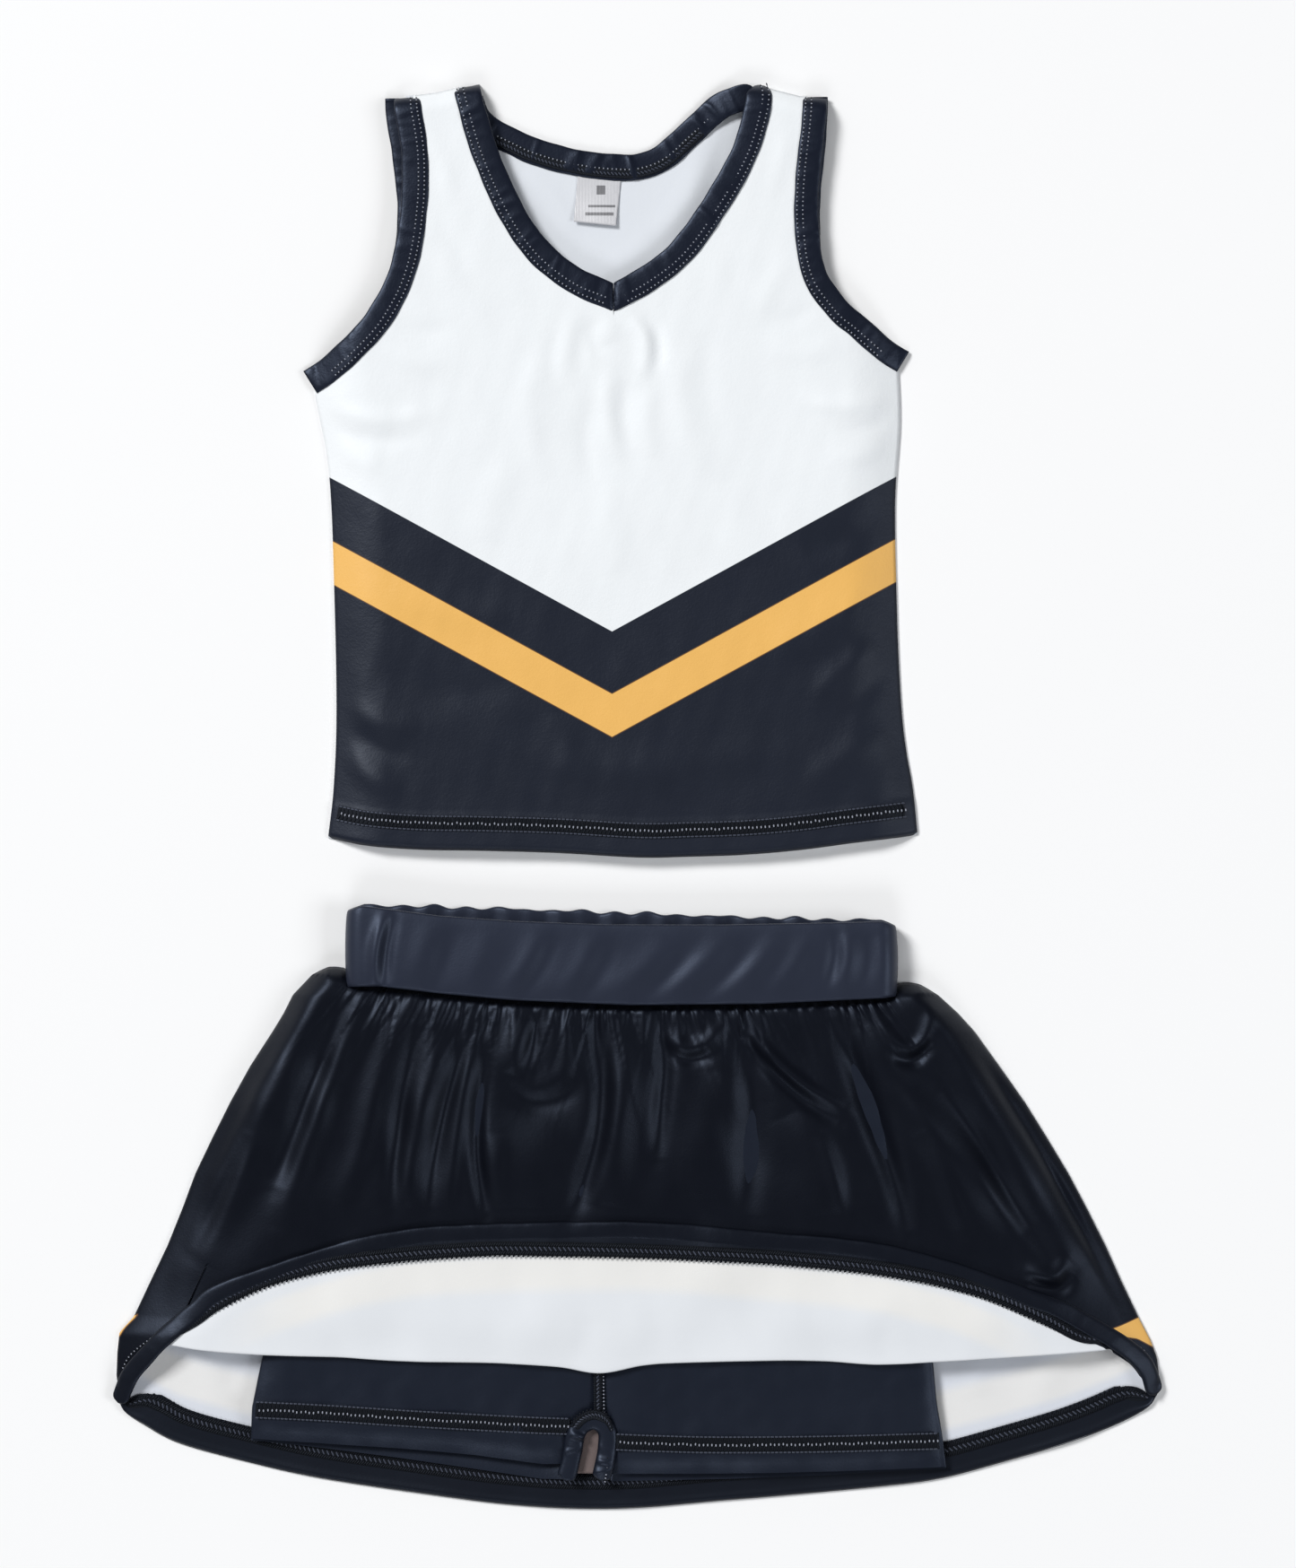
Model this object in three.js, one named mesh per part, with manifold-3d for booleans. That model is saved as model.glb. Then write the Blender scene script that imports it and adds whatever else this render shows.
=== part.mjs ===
// A child's two-piece cheer uniform laid out flat, front up: a sleeveless V-neck top and, below it, a gathered
// skirt with shorts sewn inside. The skirt's front hem is turned up, so that the lining and the shorts show.
// Millimetres. +X is to the right as seen from above, +Y towards the shoulders, +Z up from the surface it lies on.
import * as THREE from "three";
import { mergeVertices } from "three/addons/utils/BufferGeometryUtils.js";
import Module from "manifold-3d";

const wasm = await Module();
wasm.setup();

// ---- Driving dimensions ------------------------------------------------------------------------------------

const cloth = 0.8; // printed knit, one layer
const gap = 0.3; // between pieces that touch
const stitchHeight = 0.5; // how far a coverstitch stands on the cloth
const coverstitchWidth = 6.5;
const hemDepth = 16.5; // every hem is turned in by this much
const hemStitchInset = 9; // hem edge to the near side of its coverstitch

const top = {
  bodyLength: 372, // hem to shoulder
  chestWidth: 282.5, // side seam to side seam under the arms
  chestShift: -3.75, // the top lies a little askew, so each width has its own sideways shift
  waistWidth: 270.5,
  waistShift: 1.2,
  waistHeight: 90,
  hemWidth: 282.5,
  hemShift: 4.75,
  hemSag: 9.5, // the hem's middle hangs this far below its corners
  neckHalf: 69.5, // centre line to the neck binding at the shoulder
  neckShift: -2,
  neckDrop: 102, // shoulder to the point of the V
  backNeckDrop: 38,
  strapWidth: 28.3, // neck binding to armhole binding at the shoulder
  shoulderShift: -1.2,
  shoulderSlope: 5, // the armhole end of the shoulder is this much lower than the neck end
  armholeDepth: 133.5,
  armholeTilt: 5.5, // the left armhole lies this much lower than the right one
  armholeSpread: 4, // the armhole binding runs this far outside the side seam
  backArmholeShift: 7, // the left back binding shows beside the front one by this much
  bindingWidth: 12.5,
  bindingThickness: 2.2,
  loft: 9, // height of the front panel's inside over the surface
  rollWidth: 32, // the front panel comes down to the side seams over this width
  seamWidth: 1.6,
};

const label = { width: 21.5, length: 22, thickness: 0.5, offset: -7.5 };

const skirt = {
  waistWidth: 264,
  waistbandHeight: 40,
  waistbandDepth: 15.6, // front to back, as it lies
  elasticThickness: 1.2,
  waistSeam: 3, // length of the gathered seam under the waistband
  gatherSpread: 13, // just under the waistband the skirt is this much wider on each side
  gatherShift: 2.5,
  cornerDrop: 186, // waistband to the corner where front and back hems meet
  hemDip: 58, // the back hem's middle hangs this far below its corners
  hemWidth: 501,
  hemShift: 8.5,
  foldRise: 17, // the fold of the turned-up front hem is this much higher than the corners
  foldInset: 8, // and stops this far inside the side seams
  turnup: 62.5, // length of front panel turned up at the middle
  frontDrop: 2.2, // the front panel's inside lies this far under the waistband's face
  waistRollWidth: 15, // the front panel comes down to the side seams over this width at the waist
  rollWidth: 70, // and over this width at the hem
  seamWidth: 1.6,
};

const shorts = {
  waistInset: 9, // from the waistband's end to the shorts' side
  hemLeft: { inset: 66, drop: 211 }, // outer corner of the hem, in from the skirt's corner and
  hemRight: { inset: 105, drop: 220 }, // down from the waistband: the shorts lie askew
  innerHem: -226, // height of the hem at the crotch
  crotchX: -11.5,
  crotchDrop: 199,
  base: 3.1, // height of the back layer over the surface
  underFront: 1.9, // from the leg's coverstitch up to the skirt's front panel
};

const gusset = { width: 21, length: 32, wall: 6, rise: 1 }; // it stands up by its rise over the legs

const garmentGap = 28; // top's hem to the waistband

// ---- Materials ---------------------------------------------------------------------------------------------

const fabric = (name, color, roughness) =>
  new THREE.MeshStandardMaterial({ name, color, roughness, metalness: 0 });
const whiteKnit = fabric("white_knit", 0xeef1f3, 0.6);
const navyKnit = fabric("navy_knit", 0x222632, 0.45);
const navyBinding = fabric("navy_binding", 0x1e2230, 0.42);
const navyThread = fabric("navy_thread", 0x10131c, 0.7);
const elasticWebbing = fabric("white_elastic", 0xe4e4e2, 0.8);
const labelSatin = fabric("label_satin", 0xdadade, 0.35);

// ---- Curves and outlines -----------------------------------------------------------------------------------

const point = (x, y) => new THREE.Vector2(x, y);

// A curve from a to b. Each knot between them is a share of the way across and a share of the way up.
function curveThrough(a, b, knots, samples) {
  const inner = knots.map(([across, along]) =>
    point(a.x + across * (b.x - a.x), a.y + along * (b.y - a.y)),
  );
  return new THREE.SplineCurve([a, ...inner, b]).getSpacedPoints(samples);
}

// The curve moved sideways: to its left for a positive distance, as one walks along it.
function offset(points, distance) {
  return points.map((p, i) => {
    const before = points[Math.max(i - 1, 0)];
    const after = points[Math.min(i + 1, points.length - 1)];
    const along = after.clone().sub(before).normalize();
    return point(p.x - along.y * distance, p.y + along.x * distance);
  });
}

const reversed = (points) => [...points].reverse();

// A band of the given width along a curve, as an outline.
const band = (points, width) => [
  ...offset(points, width / 2),
  ...reversed(offset(points, -width / 2)),
];

// A rectangle of that length and width, centred on a point and turned by an angle, as an outline.
function bar(centre, length, width, angle) {
  return [[-1, -1], [1, -1], [1, 1], [-1, 1]].map(([a, b]) =>
    point((a * length) / 2, (b * width) / 2).rotateAround(point(0, 0), angle).add(centre),
  );
}

// The height of a curve's sampled points at a given x, or with "y", their x at a given height.
function reading(points, from, to) {
  return (value) => {
    let best = points[0];
    for (let i = 1; i < points.length; i++) {
      const a = points[i - 1];
      const b = points[i];
      if ((a[from] - value) * (b[from] - value) <= 0 && a[from] !== b[from])
        return a[to] + ((value - a[from]) / (b[from] - a[from])) * (b[to] - a[to]);
      if (Math.abs(b[from] - value) < Math.abs(best[from] - value)) best = b;
    }
    return best[to];
  };
}

// ---- Solids ------------------------------------------------------------------------------------------------

function toSolid(geometry) {
  const bare = new THREE.BufferGeometry();
  bare.setAttribute("position", geometry.getAttribute("position"));
  if (geometry.index) bare.setIndex(geometry.index);
  const merged = mergeVertices(bare, 1e-4);
  return new wasm.Manifold(
    new wasm.Mesh({
      numProp: 3,
      vertProperties: new Float32Array(merged.attributes.position.array),
      triVerts: new Uint32Array(merged.index.array),
    }),
  );
}

function toGeometry(solid) {
  const made = solid.getMesh();
  const geometry = new THREE.BufferGeometry();
  geometry.setAttribute("position", new THREE.BufferAttribute(made.vertProperties, 3));
  geometry.setIndex(new THREE.BufferAttribute(made.triVerts, 1));
  geometry.computeVertexNormals();
  return geometry;
}

// An outline extruded straight up between two heights.
function prism(outline, bottom, height) {
  const ordered = THREE.ShapeUtils.isClockWise(outline) ? reversed(outline) : outline;
  const geometry = new THREE.ExtrudeGeometry(new THREE.Shape(ordered), {
    depth: height,
    bevelEnabled: false,
  });
  geometry.translate(0, 0, bottom);
  return toSolid(geometry);
}

// A layer of cloth: the outline's part of a sheet whose underside lies at bottom(x, y). The sheet's cells lie on
// one common grid, so that layers stacked on each other keep their distance everywhere.
function layer(outline, bottom, thickness) {
  const box = new THREE.Box2().setFromPoints(outline).expandByScalar(1);
  box.min.divideScalar(cell).floor().multiplyScalar(cell);
  box.max.divideScalar(cell).ceil().multiplyScalar(cell);
  const size = box.getSize(new THREE.Vector2());
  const centre = box.getCenter(new THREE.Vector2());
  const sheet = new THREE.BoxGeometry(
    size.x, size.y, 1, Math.round(size.x / cell), Math.round(size.y / cell), 1,
  );
  const underside = sheet.groups[5];
  for (let i = underside.start; i < underside.start + underside.count; i += 6) {
    const [a, b, d, , c] = sheet.index.array.slice(i, i + 6);
    sheet.index.array.set([a, b, c, a, c, d], i); // its diagonals now run like the upper side's
  }
  const position = sheet.getAttribute("position");
  for (let i = 0; i < position.count; i++) {
    const x = position.getX(i) + centre.x;
    const y = position.getY(i) + centre.y;
    const z = bottom(x, y) + (position.getZ(i) > 0 ? thickness : 0);
    position.setXYZ(i, x, y, z);
  }
  return toSolid(sheet).intersect(prism(outline, -tall, 2 * tall));
}
const cell = 18; // grid of the domed layers
const tall = 100; // taller than anything here

const flat = (height) => () => height;
const above = (surface, height) => (x, y) => surface(x, y) + height;

const garmentMesh = (name, solid, material) => {
  const mesh = new THREE.Mesh(toGeometry(solid), material);
  mesh.name = name;
  return mesh;
};

// How high a panel that is rolled down to both side edges lies: from edge at the sides to crown in the middle.
function domed(leftAt, rightAt, edge, crown, rollAt) {
  return (x, y) => {
    const inside = Math.min(x - leftAt(y), rightAt(y) - x) / rollAt(y);
    return edge + (crown - edge) * Math.sin((Math.PI / 2) * THREE.MathUtils.clamp(inside, 0, 1));
  };
}

// ---- The top -----------------------------------------------------------------------------------------------

const armholeKnots = [[-0.06, 0.18], [-0.09, 0.36], [-0.06, 0.52], [0.05, 0.67], [0.28, 0.81], [0.62, 0.92]];
const neckKnots = [[0.05, 0.2], [0.16, 0.4], [0.33, 0.61], [0.57, 0.82], [0.81, 0.923]];
const backNeckKnots = [[0.05, 0.5], [0.14, 0.76], [0.27, 0.88], [0.45, 1], [0.6, 1.02], [0.7, 0.88], [0.8, 0.55], [0.89, 0.24]];

function makeTop() {
  const group = new THREE.Group();
  const half = top.bindingWidth / 2;
  const neckEnd = (side) => point(side * top.neckHalf + top.neckShift, top.bodyLength);
  const armEnd = (side) =>
    point(
      side * (top.neckHalf + top.strapWidth) + top.shoulderShift,
      top.bodyLength - top.shoulderSlope,
    );
  const underarm = (side) =>
    point(
      side * (top.chestWidth / 2 + top.armholeSpread) + top.chestShift,
      top.bodyLength - top.shoulderSlope - top.armholeDepth + side * top.armholeTilt,
    );
  const vPoint = point(0, top.bodyLength - top.neckDrop);
  const hemCorner = (side) => point((side * top.hemWidth) / 2 + top.hemShift, top.hemSag);
  const waist = (side) => point((side * top.waistWidth) / 2 + top.waistShift, top.waistHeight);
  const chest = (side) =>
    point((side * top.chestWidth) / 2 + top.chestShift, underarm(side).y - half);

  const sideLine = (side) =>
    new THREE.SplineCurve([hemCorner(side), waist(side), chest(side)]).getSpacedPoints(10);
  const hemLine = new THREE.SplineCurve([hemCorner(-1), point(0, 0), hemCorner(1)]).getSpacedPoints(12);
  const hemAt = reading(hemLine, "x", "y");
  const leftAt = reading(sideLine(-1), "y", "x");
  const rightAt = reading(sideLine(1), "y", "x");
  const front = domed(leftAt, rightAt, cloth + gap, top.loft, () => top.rollWidth);

  const armhole = (side) => curveThrough(armEnd(side), underarm(side), armholeKnots, 16);
  const backArmhole = (side) => {
    const end = armEnd(side).add(point(side < 0 ? -top.backArmholeShift : 0, 0));
    return curveThrough(end, underarm(side), armholeKnots, 16);
  };
  const neckSide = (side) => curveThrough(neckEnd(side), vPoint, neckKnots, 12);
  const backNeck = new THREE.SplineCurve([
    neckEnd(-1),
    ...backNeckKnots.map(([across, down]) =>
      point(
        THREE.MathUtils.lerp(neckEnd(-1).x, neckEnd(1).x, across),
        top.bodyLength - down * top.backNeckDrop,
      ),
    ),
    neckEnd(1),
  ]).getSpacedPoints(22);

  // Panels: their edges stop a gap short of the bindings, the seams and the shoulder line.
  const edge = half + gap;
  const sideInset = top.seamWidth + gap;
  const shoulderInset = top.bindingThickness / 2 + gap;
  const shoulderAt = (x) => {
    const side = Math.sign(x);
    const share = (x - neckEnd(side).x) / (armEnd(side).x - neckEnd(side).x);
    return THREE.MathUtils.lerp(neckEnd(side).y, armEnd(side).y, share);
  };
  const corner = (x) => point(x, shoulderAt(x) - shoulderInset);
  const underShoulder = (points) =>
    points.filter((p) => p.y < shoulderAt(p.x) - shoulderInset - cloth);
  const panelOutline = (armholeLine, neckLine) => [
    ...hemLine.filter((p) => Math.abs(p.x - top.hemShift) < top.hemWidth / 2 - sideInset),
    ...offset(sideLine(1), sideInset),
    ...reversed(underShoulder(offset(armholeLine(1), -edge))),
    point(armEnd(1).x - edge, armEnd(1).y - shoulderInset),
    corner(armEnd(1).x - edge),
    corner(neckEnd(1).x + edge),
    ...neckLine,
    corner(neckEnd(-1).x - edge),
    corner(armEnd(-1).x + edge),
    point(armEnd(-1).x + edge, armEnd(-1).y - shoulderInset),
    ...underShoulder(offset(armholeLine(-1), edge)),
    ...reversed(offset(sideLine(-1), -sideInset)),
  ];
  const vGap = edge * 1.4; // the panel's V lies this far under the bindings' centre lines
  const frontNeckLine = [
    ...underShoulder(offset(neckSide(1), edge)).slice(0, -1),
    point(0, vPoint.y - vGap),
    ...reversed(underShoulder(offset(neckSide(-1), -edge)).slice(0, -1)),
  ];
  const backNeckLine = reversed(underShoulder(offset(backNeck, -edge)));

  // A strip that follows the hem between two distances from its edge.
  const hemStrip = (from, to, line) => {
    const kept = line.filter((p) => Math.abs(p.x - top.hemShift) < top.hemWidth / 2 - sideInset - 1);
    return [...kept.map((p) => point(p.x, p.y + from)), ...reversed(kept.map((p) => point(p.x, p.y + to)))];
  };

  const frontPanel = layer(panelOutline(armhole, frontNeckLine), front, cloth).add(
    layer(hemStrip(0.2, hemDepth, hemLine), above(front, -cloth), cloth + 0.2),
  );
  const backPanel = prism(panelOutline(backArmhole, backNeckLine), 0, cloth).add(
    prism(hemStrip(0.2, hemDepth, hemLine), cloth / 2, cloth * 1.5),
  );
  group.add(garmentMesh("top_front_panel", frontPanel, whiteKnit));
  group.add(garmentMesh("top_back_panel", backPanel, whiteKnit));

  // Hem coverstitches: on the outside of the front, and on the inside of the back.
  const stitchRow = hemStrip(hemStitchInset, hemStitchInset + coverstitchWidth, hemLine);
  group.add(
    garmentMesh(
      "top_front_hem_coverstitch",
      layer(stitchRow, above(front, cloth + gap), stitchHeight),
      navyThread,
    ),
    garmentMesh(
      "top_back_hem_coverstitch",
      prism(stitchRow, 2 * cloth + gap, stitchHeight),
      navyThread,
    ),
  );

  // Bindings: a front band and a back band, joined over the shoulder.
  const bindingTop = (x, y) => Math.max(front(x, y) - (top.bindingThickness - cloth) / 2, 0);
  const frontBand = (points) =>
    layer(band(points, top.bindingWidth), bindingTop, top.bindingThickness);
  const backBand = (points) => prism(band(points, top.bindingWidth), 0, top.bindingThickness);
  const shoulderTop = top.loft + cloth;
  const overShoulder = (a, b) => {
    const centre = a.clone().add(b).multiplyScalar(0.5);
    return prism(
      bar(centre, top.bindingWidth + Math.abs(a.x - b.x), top.bindingThickness, 0),
      0,
      shoulderTop,
    );
  };
  const vFill = prism(bar(vPoint, 3, half, 0), top.loft - 0.5, top.bindingThickness);
  const neckBinding = frontBand(neckSide(-1))
    .add(frontBand(neckSide(1)))
    .add(vFill)
    .add(backBand(backNeck))
    .add(overShoulder(neckEnd(-1), neckEnd(-1)))
    .add(overShoulder(neckEnd(1), neckEnd(1)));
  group.add(garmentMesh("neck_binding", neckBinding, navyBinding));
  for (const [side, name] of [[-1, "left"], [1, "right"]]) {
    const ends = [armhole(side)[0], backArmhole(side)[0]];
    const tip = underarm(side);
    const binding = frontBand(armhole(side))
      .add(backBand(backArmhole(side)))
      .add(overShoulder(...ends))
      .add(prism(bar(tip, half, half, 0), 0, cloth + 2 * top.bindingThickness));
    group.add(garmentMesh(`armhole_binding_${name}`, binding, navyBinding));

    // The shoulder seam stands between the two bindings' ends, and holds front and back together.
    const inner = neckEnd(side).x + side * edge;
    const outer = side < 0
      ? Math.max(ends[0].x, ends[1].x) + edge
      : Math.min(ends[0].x, ends[1].x) - edge;
    const across = Math.abs(outer - inner) - 2 * gap;
    const slope = Math.atan((shoulderAt(outer) - shoulderAt(inner)) / (outer - inner));
    const middle = point((inner + outer) / 2, shoulderAt((inner + outer) / 2));
    const shoulder = prism(bar(middle, across, top.bindingThickness, slope), 0, shoulderTop);
    group.add(garmentMesh(`shoulder_seam_${name}`, shoulder, whiteKnit));

    // The side seam runs outside both panels' edges, from the hem to the armhole binding.
    const seamLine = sideLine(side).filter((p) => p.y < underarm(side).y - half - gap - 2);
    const seam = prism(
      [...seamLine, ...reversed(offset(seamLine, side * top.seamWidth))],
      0,
      2 * cloth + 3 * gap,
    );
    group.add(garmentMesh(`top_side_seam_${name}`, seam, navyThread));
  }

  // Size label, sewn to the inside of the back under the neck binding.
  const bindingAt = reading(offset(backNeck, -edge), "x", "y");
  const labelTop =
    Math.min(
      bindingAt(label.offset - label.width / 2), bindingAt(label.offset + label.width / 2),
    ) - label.thickness - gap; // it turns up on this edge, clear of the binding
  const labelOutline = bar(
    point(label.offset, labelTop - label.length / 2), label.width, label.length, 0,
  );
  group.add(garmentMesh("size_label", prism(labelOutline, cloth + gap, label.thickness), labelSatin));
  return group;
}

// ---- The skirt ---------------------------------------------------------------------------------------------

const sideKnots = [[0.27, 0.11], [0.48, 0.3], [0.65, 0.49], [0.8, 0.68], [0.91, 0.825], [0.985, 0.93]];
const backHemKnots = [[0.026, 0.32], [0.12, 0.62], [0.31, 0.915], [0.42, 1], [0.575, 0.95], [0.78, 0.776], [0.913, 0.466], [0.985, 0.2]];
const turnupKnots = [[0.034, 0.22], [0.105, 0.547], [0.19, 0.87], [0.29, 0.99], [0.42, 1.005], [0.506, 0.99], [0.606, 0.94], [0.75, 0.816], [0.82, 0.68], [0.893, 0.435], [0.965, 0.176]];

// A flattened tube's cross-section across x and z, standing on z = 0.
function flattened(width, depth) {
  const r = depth / 2;
  const shape = new THREE.Path();
  shape.absarc(width / 2 - r, r, r, -Math.PI / 2, Math.PI / 2, false);
  shape.absarc(-width / 2 + r, r, r, Math.PI / 2, (3 * Math.PI) / 2, false);
  return shape.getPoints(8);
}

// A ring between two flattened tubes, inset by from and to, running from y0 up to y1.
function flatRing(from, to, y0, y1) {
  const at = (inset) =>
    flattened(skirt.waistWidth - 2 * inset, skirt.waistbandDepth - 2 * inset).map((p) =>
      point(p.x, p.y + inset),
    );
  const shape = new THREE.Shape(at(from));
  shape.holes.push(new THREE.Path(reversed(at(to))));
  const geometry = new THREE.ExtrudeGeometry(shape, { depth: y1 - y0, bevelEnabled: false });
  geometry.rotateX(Math.PI / 2); // the extrusion now runs towards -y, and the section's height is z
  geometry.translate(0, y1, 0);
  return toSolid(geometry);
}

function makeSkirt() {
  const group = new THREE.Group();

  // Waistband: a casing folded over the elastic, open at its lower edge, and the gathered seam under it.
  const wall = cloth + gap + skirt.elasticThickness + gap + cloth;
  const casing = flatRing(0, wall, 0, skirt.waistbandHeight).subtract(
    flatRing(cloth, wall - cloth, -1, skirt.waistbandHeight - cloth),
  );
  const elastic = flatRing(cloth + gap, cloth + gap + skirt.elasticThickness, gap, skirt.waistbandHeight - cloth - gap);
  const seamTop = -gap;
  const seamBottom = seamTop - skirt.waistSeam;
  const waistSeam = flatRing(0, wall, seamBottom, seamTop);
  group.add(garmentMesh("waistband_casing", casing, navyKnit));
  group.add(garmentMesh("waistband_elastic", elastic, elasticWebbing));
  group.add(garmentMesh("waist_gathering_seam", waistSeam, navyThread));

  // Outlines. The panels start a gap under the gathered seam.
  const panelTop = seamBottom - gap;
  const foldDrop = skirt.cornerDrop - skirt.foldRise;
  const loft = skirt.waistbandDepth - skirt.frontDrop; // height of the front panel's inside
  const shoulder = (side) =>
    point(side * (skirt.waistWidth / 2 + skirt.gatherSpread) + skirt.gatherShift, panelTop);
  const corner = (side) => point((side * skirt.hemWidth) / 2 + skirt.hemShift, -skirt.cornerDrop);
  const sideLine = (side) => curveThrough(shoulder(side), corner(side), sideKnots, 14);
  const backHem = new THREE.SplineCurve([
    corner(-1),
    ...backHemKnots.map(([across, down]) =>
      point(
        THREE.MathUtils.lerp(corner(-1).x, corner(1).x, across),
        -skirt.cornerDrop - down * skirt.hemDip,
      ),
    ),
    corner(1),
  ]).getSpacedPoints(36);
  const leftAt = reading(sideLine(-1), "y", "x");
  const rightAt = reading(sideLine(1), "y", "x");
  const foldEnd = (side) =>
    point((side < 0 ? leftAt : rightAt)(-foldDrop) - side * skirt.foldInset, -foldDrop);
  const turnupHem = new THREE.SplineCurve([
    foldEnd(-1),
    ...turnupKnots.map(([across, up]) =>
      point(THREE.MathUtils.lerp(foldEnd(-1).x, foldEnd(1).x, across), -foldDrop + up * skirt.turnup),
    ),
    foldEnd(1),
  ]).getSpacedPoints(36);
  const rollAt = (y) =>
    THREE.MathUtils.mapLinear(
      THREE.MathUtils.clamp(y, -foldDrop, panelTop),
      panelTop, -foldDrop, skirt.waistRollWidth, skirt.rollWidth,
    );
  const front = domed(leftAt, rightAt, cloth + gap, loft, rollAt);
  const sideInset = skirt.seamWidth + gap;
  const innerSide = (side) => {
    const line = offset(sideLine(side), -side * sideInset).filter((p) => p.y > -skirt.cornerDrop);
    const [a, b] = line;
    const x = a.x + ((panelTop - a.y) * (b.x - a.x)) / (b.y - a.y);
    return [point(x, panelTop), ...line.slice(1)];
  };

  // Back panel, lying on the surface, with its hem turned in.
  const backHemInset = backHem.filter((p) => Math.abs(p.x - skirt.hemShift) < skirt.hemWidth / 2 - 2.5);
  const backOutline = [...innerSide(-1), ...backHemInset, ...reversed(innerSide(1))];
  const hemBand = (line, from, to, side) => [
    ...offset(line, side * from),
    ...reversed(offset(line, side * to)),
  ];
  const innerHem = backHem.filter((p) => Math.abs(p.x - skirt.hemShift) < skirt.hemWidth / 2 - 12);
  const backPanel = prism(backOutline, 0, cloth).add(
    prism(hemBand(innerHem, 0.4, hemDepth, 1), cloth / 2, cloth * 1.5),
  );
  group.add(garmentMesh("skirt_back_panel", backPanel, navyKnit));
  group.add(
    garmentMesh(
      "skirt_back_hem_coverstitch",
      prism(
        hemBand(innerHem, hemStitchInset + 1, hemStitchInset + coverstitchWidth, 1),
        2 * cloth + gap,
        stitchHeight,
      ),
      navyThread,
    ),
  );

  // Front panel, from the gathered seam down to the fold, with a small lobe at each lower corner.
  const foldGap = gap;
  const frontOutline = [
    ...innerSide(-1),
    point(foldEnd(-1).x, -foldDrop + foldGap),
    point(foldEnd(1).x, -foldDrop + foldGap),
    ...reversed(innerSide(1)),
  ];
  group.add(
    garmentMesh("skirt_front_panel", layer(frontOutline, front, cloth), navyKnit),
  );

  // Turned-up part of the front, resting on the front panel, with its hem turned in.
  const turnupBottom = above(front, cloth + gap);
  const turnupOutline = [...turnupHem.slice(1, -1),
    point(foldEnd(1).x - 1, -foldDrop + foldGap), point(foldEnd(-1).x + 1, -foldDrop + foldGap)];
  const wideHem = turnupHem.filter((p) => p.y > -foldDrop + hemDepth + 8);
  const turnup = layer(turnupOutline, turnupBottom, cloth).add(
    layer(hemBand(wideHem, -0.4, -hemDepth, 1), above(turnupBottom, cloth / 2), cloth),
  );
  group.add(garmentMesh("skirt_front_turnup", turnup, whiteKnit));
  group.add(
    garmentMesh(
      "skirt_front_hem_coverstitch",
      layer(
        hemBand(wideHem, -hemStitchInset - 1, -hemStitchInset - coverstitchWidth, 1),
        above(turnupBottom, 1.5 * cloth + gap),
        stitchHeight,
      ),
      navyThread,
    ),
  );

  // Side seams, from the gathered seam to the hem's corners.
  for (const [side, name] of [[-1, "left"], [1, "right"]]) {
    const line = sideLine(side);
    const seam = prism(
      [...line, ...reversed(offset(line, -side * skirt.seamWidth))], 0, 2 * cloth + 3 * gap,
    );
    group.add(garmentMesh(`skirt_side_seam_${name}`, seam, navyThread));
  }

  // Shorts: a left and a right half, each one piece of cloth round the leg, that meet on the centre seam.
  const waistEdge = (side) => point(side * (skirt.waistWidth / 2 - shorts.waistInset), panelTop);
  const crotch = point(shorts.crotchX, -shorts.crotchDrop);
  const hemCorner = (side, { inset, drop }) => point(corner(side).x - side * inset, -drop);
  const sides = {
    left: [-1, hemCorner(-1, shorts.hemLeft)],
    right: [1, hemCorner(1, shorts.hemRight)],
  };
  const shortsTop = loft - shorts.underFront - stitchHeight - gap - cloth; // under the front layer
  const hollowHeight = shortsTop - shorts.base - cloth;
  for (const [name, [side, hem]] of Object.entries(sides)) {
    const legInner = crotch.x + side * (gusset.width / 2 + gap);
    const centre = crotch.x + (side * gap) / 2;
    const outline = [
      waistEdge(side),
      hem,
      point(legInner, shorts.innerHem),
      point(legInner, crotch.y + gap),
      point(centre, crotch.y + gap),
      point(centre, panelTop),
    ];
    const hollow = [
      point(waistEdge(side).x - side * cloth * 1.4, panelTop + 5),
      point(hem.x - side * cloth * 1.4, hem.y),
      point(hem.x - side * cloth * 1.4, shorts.innerHem - 20),
      point(legInner + side * cloth, shorts.innerHem - 20),
      point(legInner + side * cloth, crotch.y + gap + cloth),
      point(centre - side * 5, crotch.y + gap + cloth),
      point(centre - side * 5, panelTop + 5),
    ];
    const half = prism(outline, shorts.base, hollowHeight + 2 * cloth).subtract(
      prism(hollow, shorts.base + cloth, hollowHeight),
    );
    group.add(garmentMesh(`shorts_${name}`, half, navyKnit));
    const slope = Math.atan2(shorts.innerHem - hem.y, legInner - hem.x);
    const lift = hemStitchInset + coverstitchWidth / 2;
    const mid = point((hem.x + legInner) / 2, (hem.y + shorts.innerHem) / 2 + lift);
    const row = bar(mid, Math.abs(legInner - hem.x) - 8, coverstitchWidth, slope);
    group.add(
      garmentMesh(
        `shorts_${name}_hem_coverstitch`,
        prism(row, shortsTop + cloth + gap, stitchHeight),
        navyThread,
      ),
    );
  }

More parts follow.
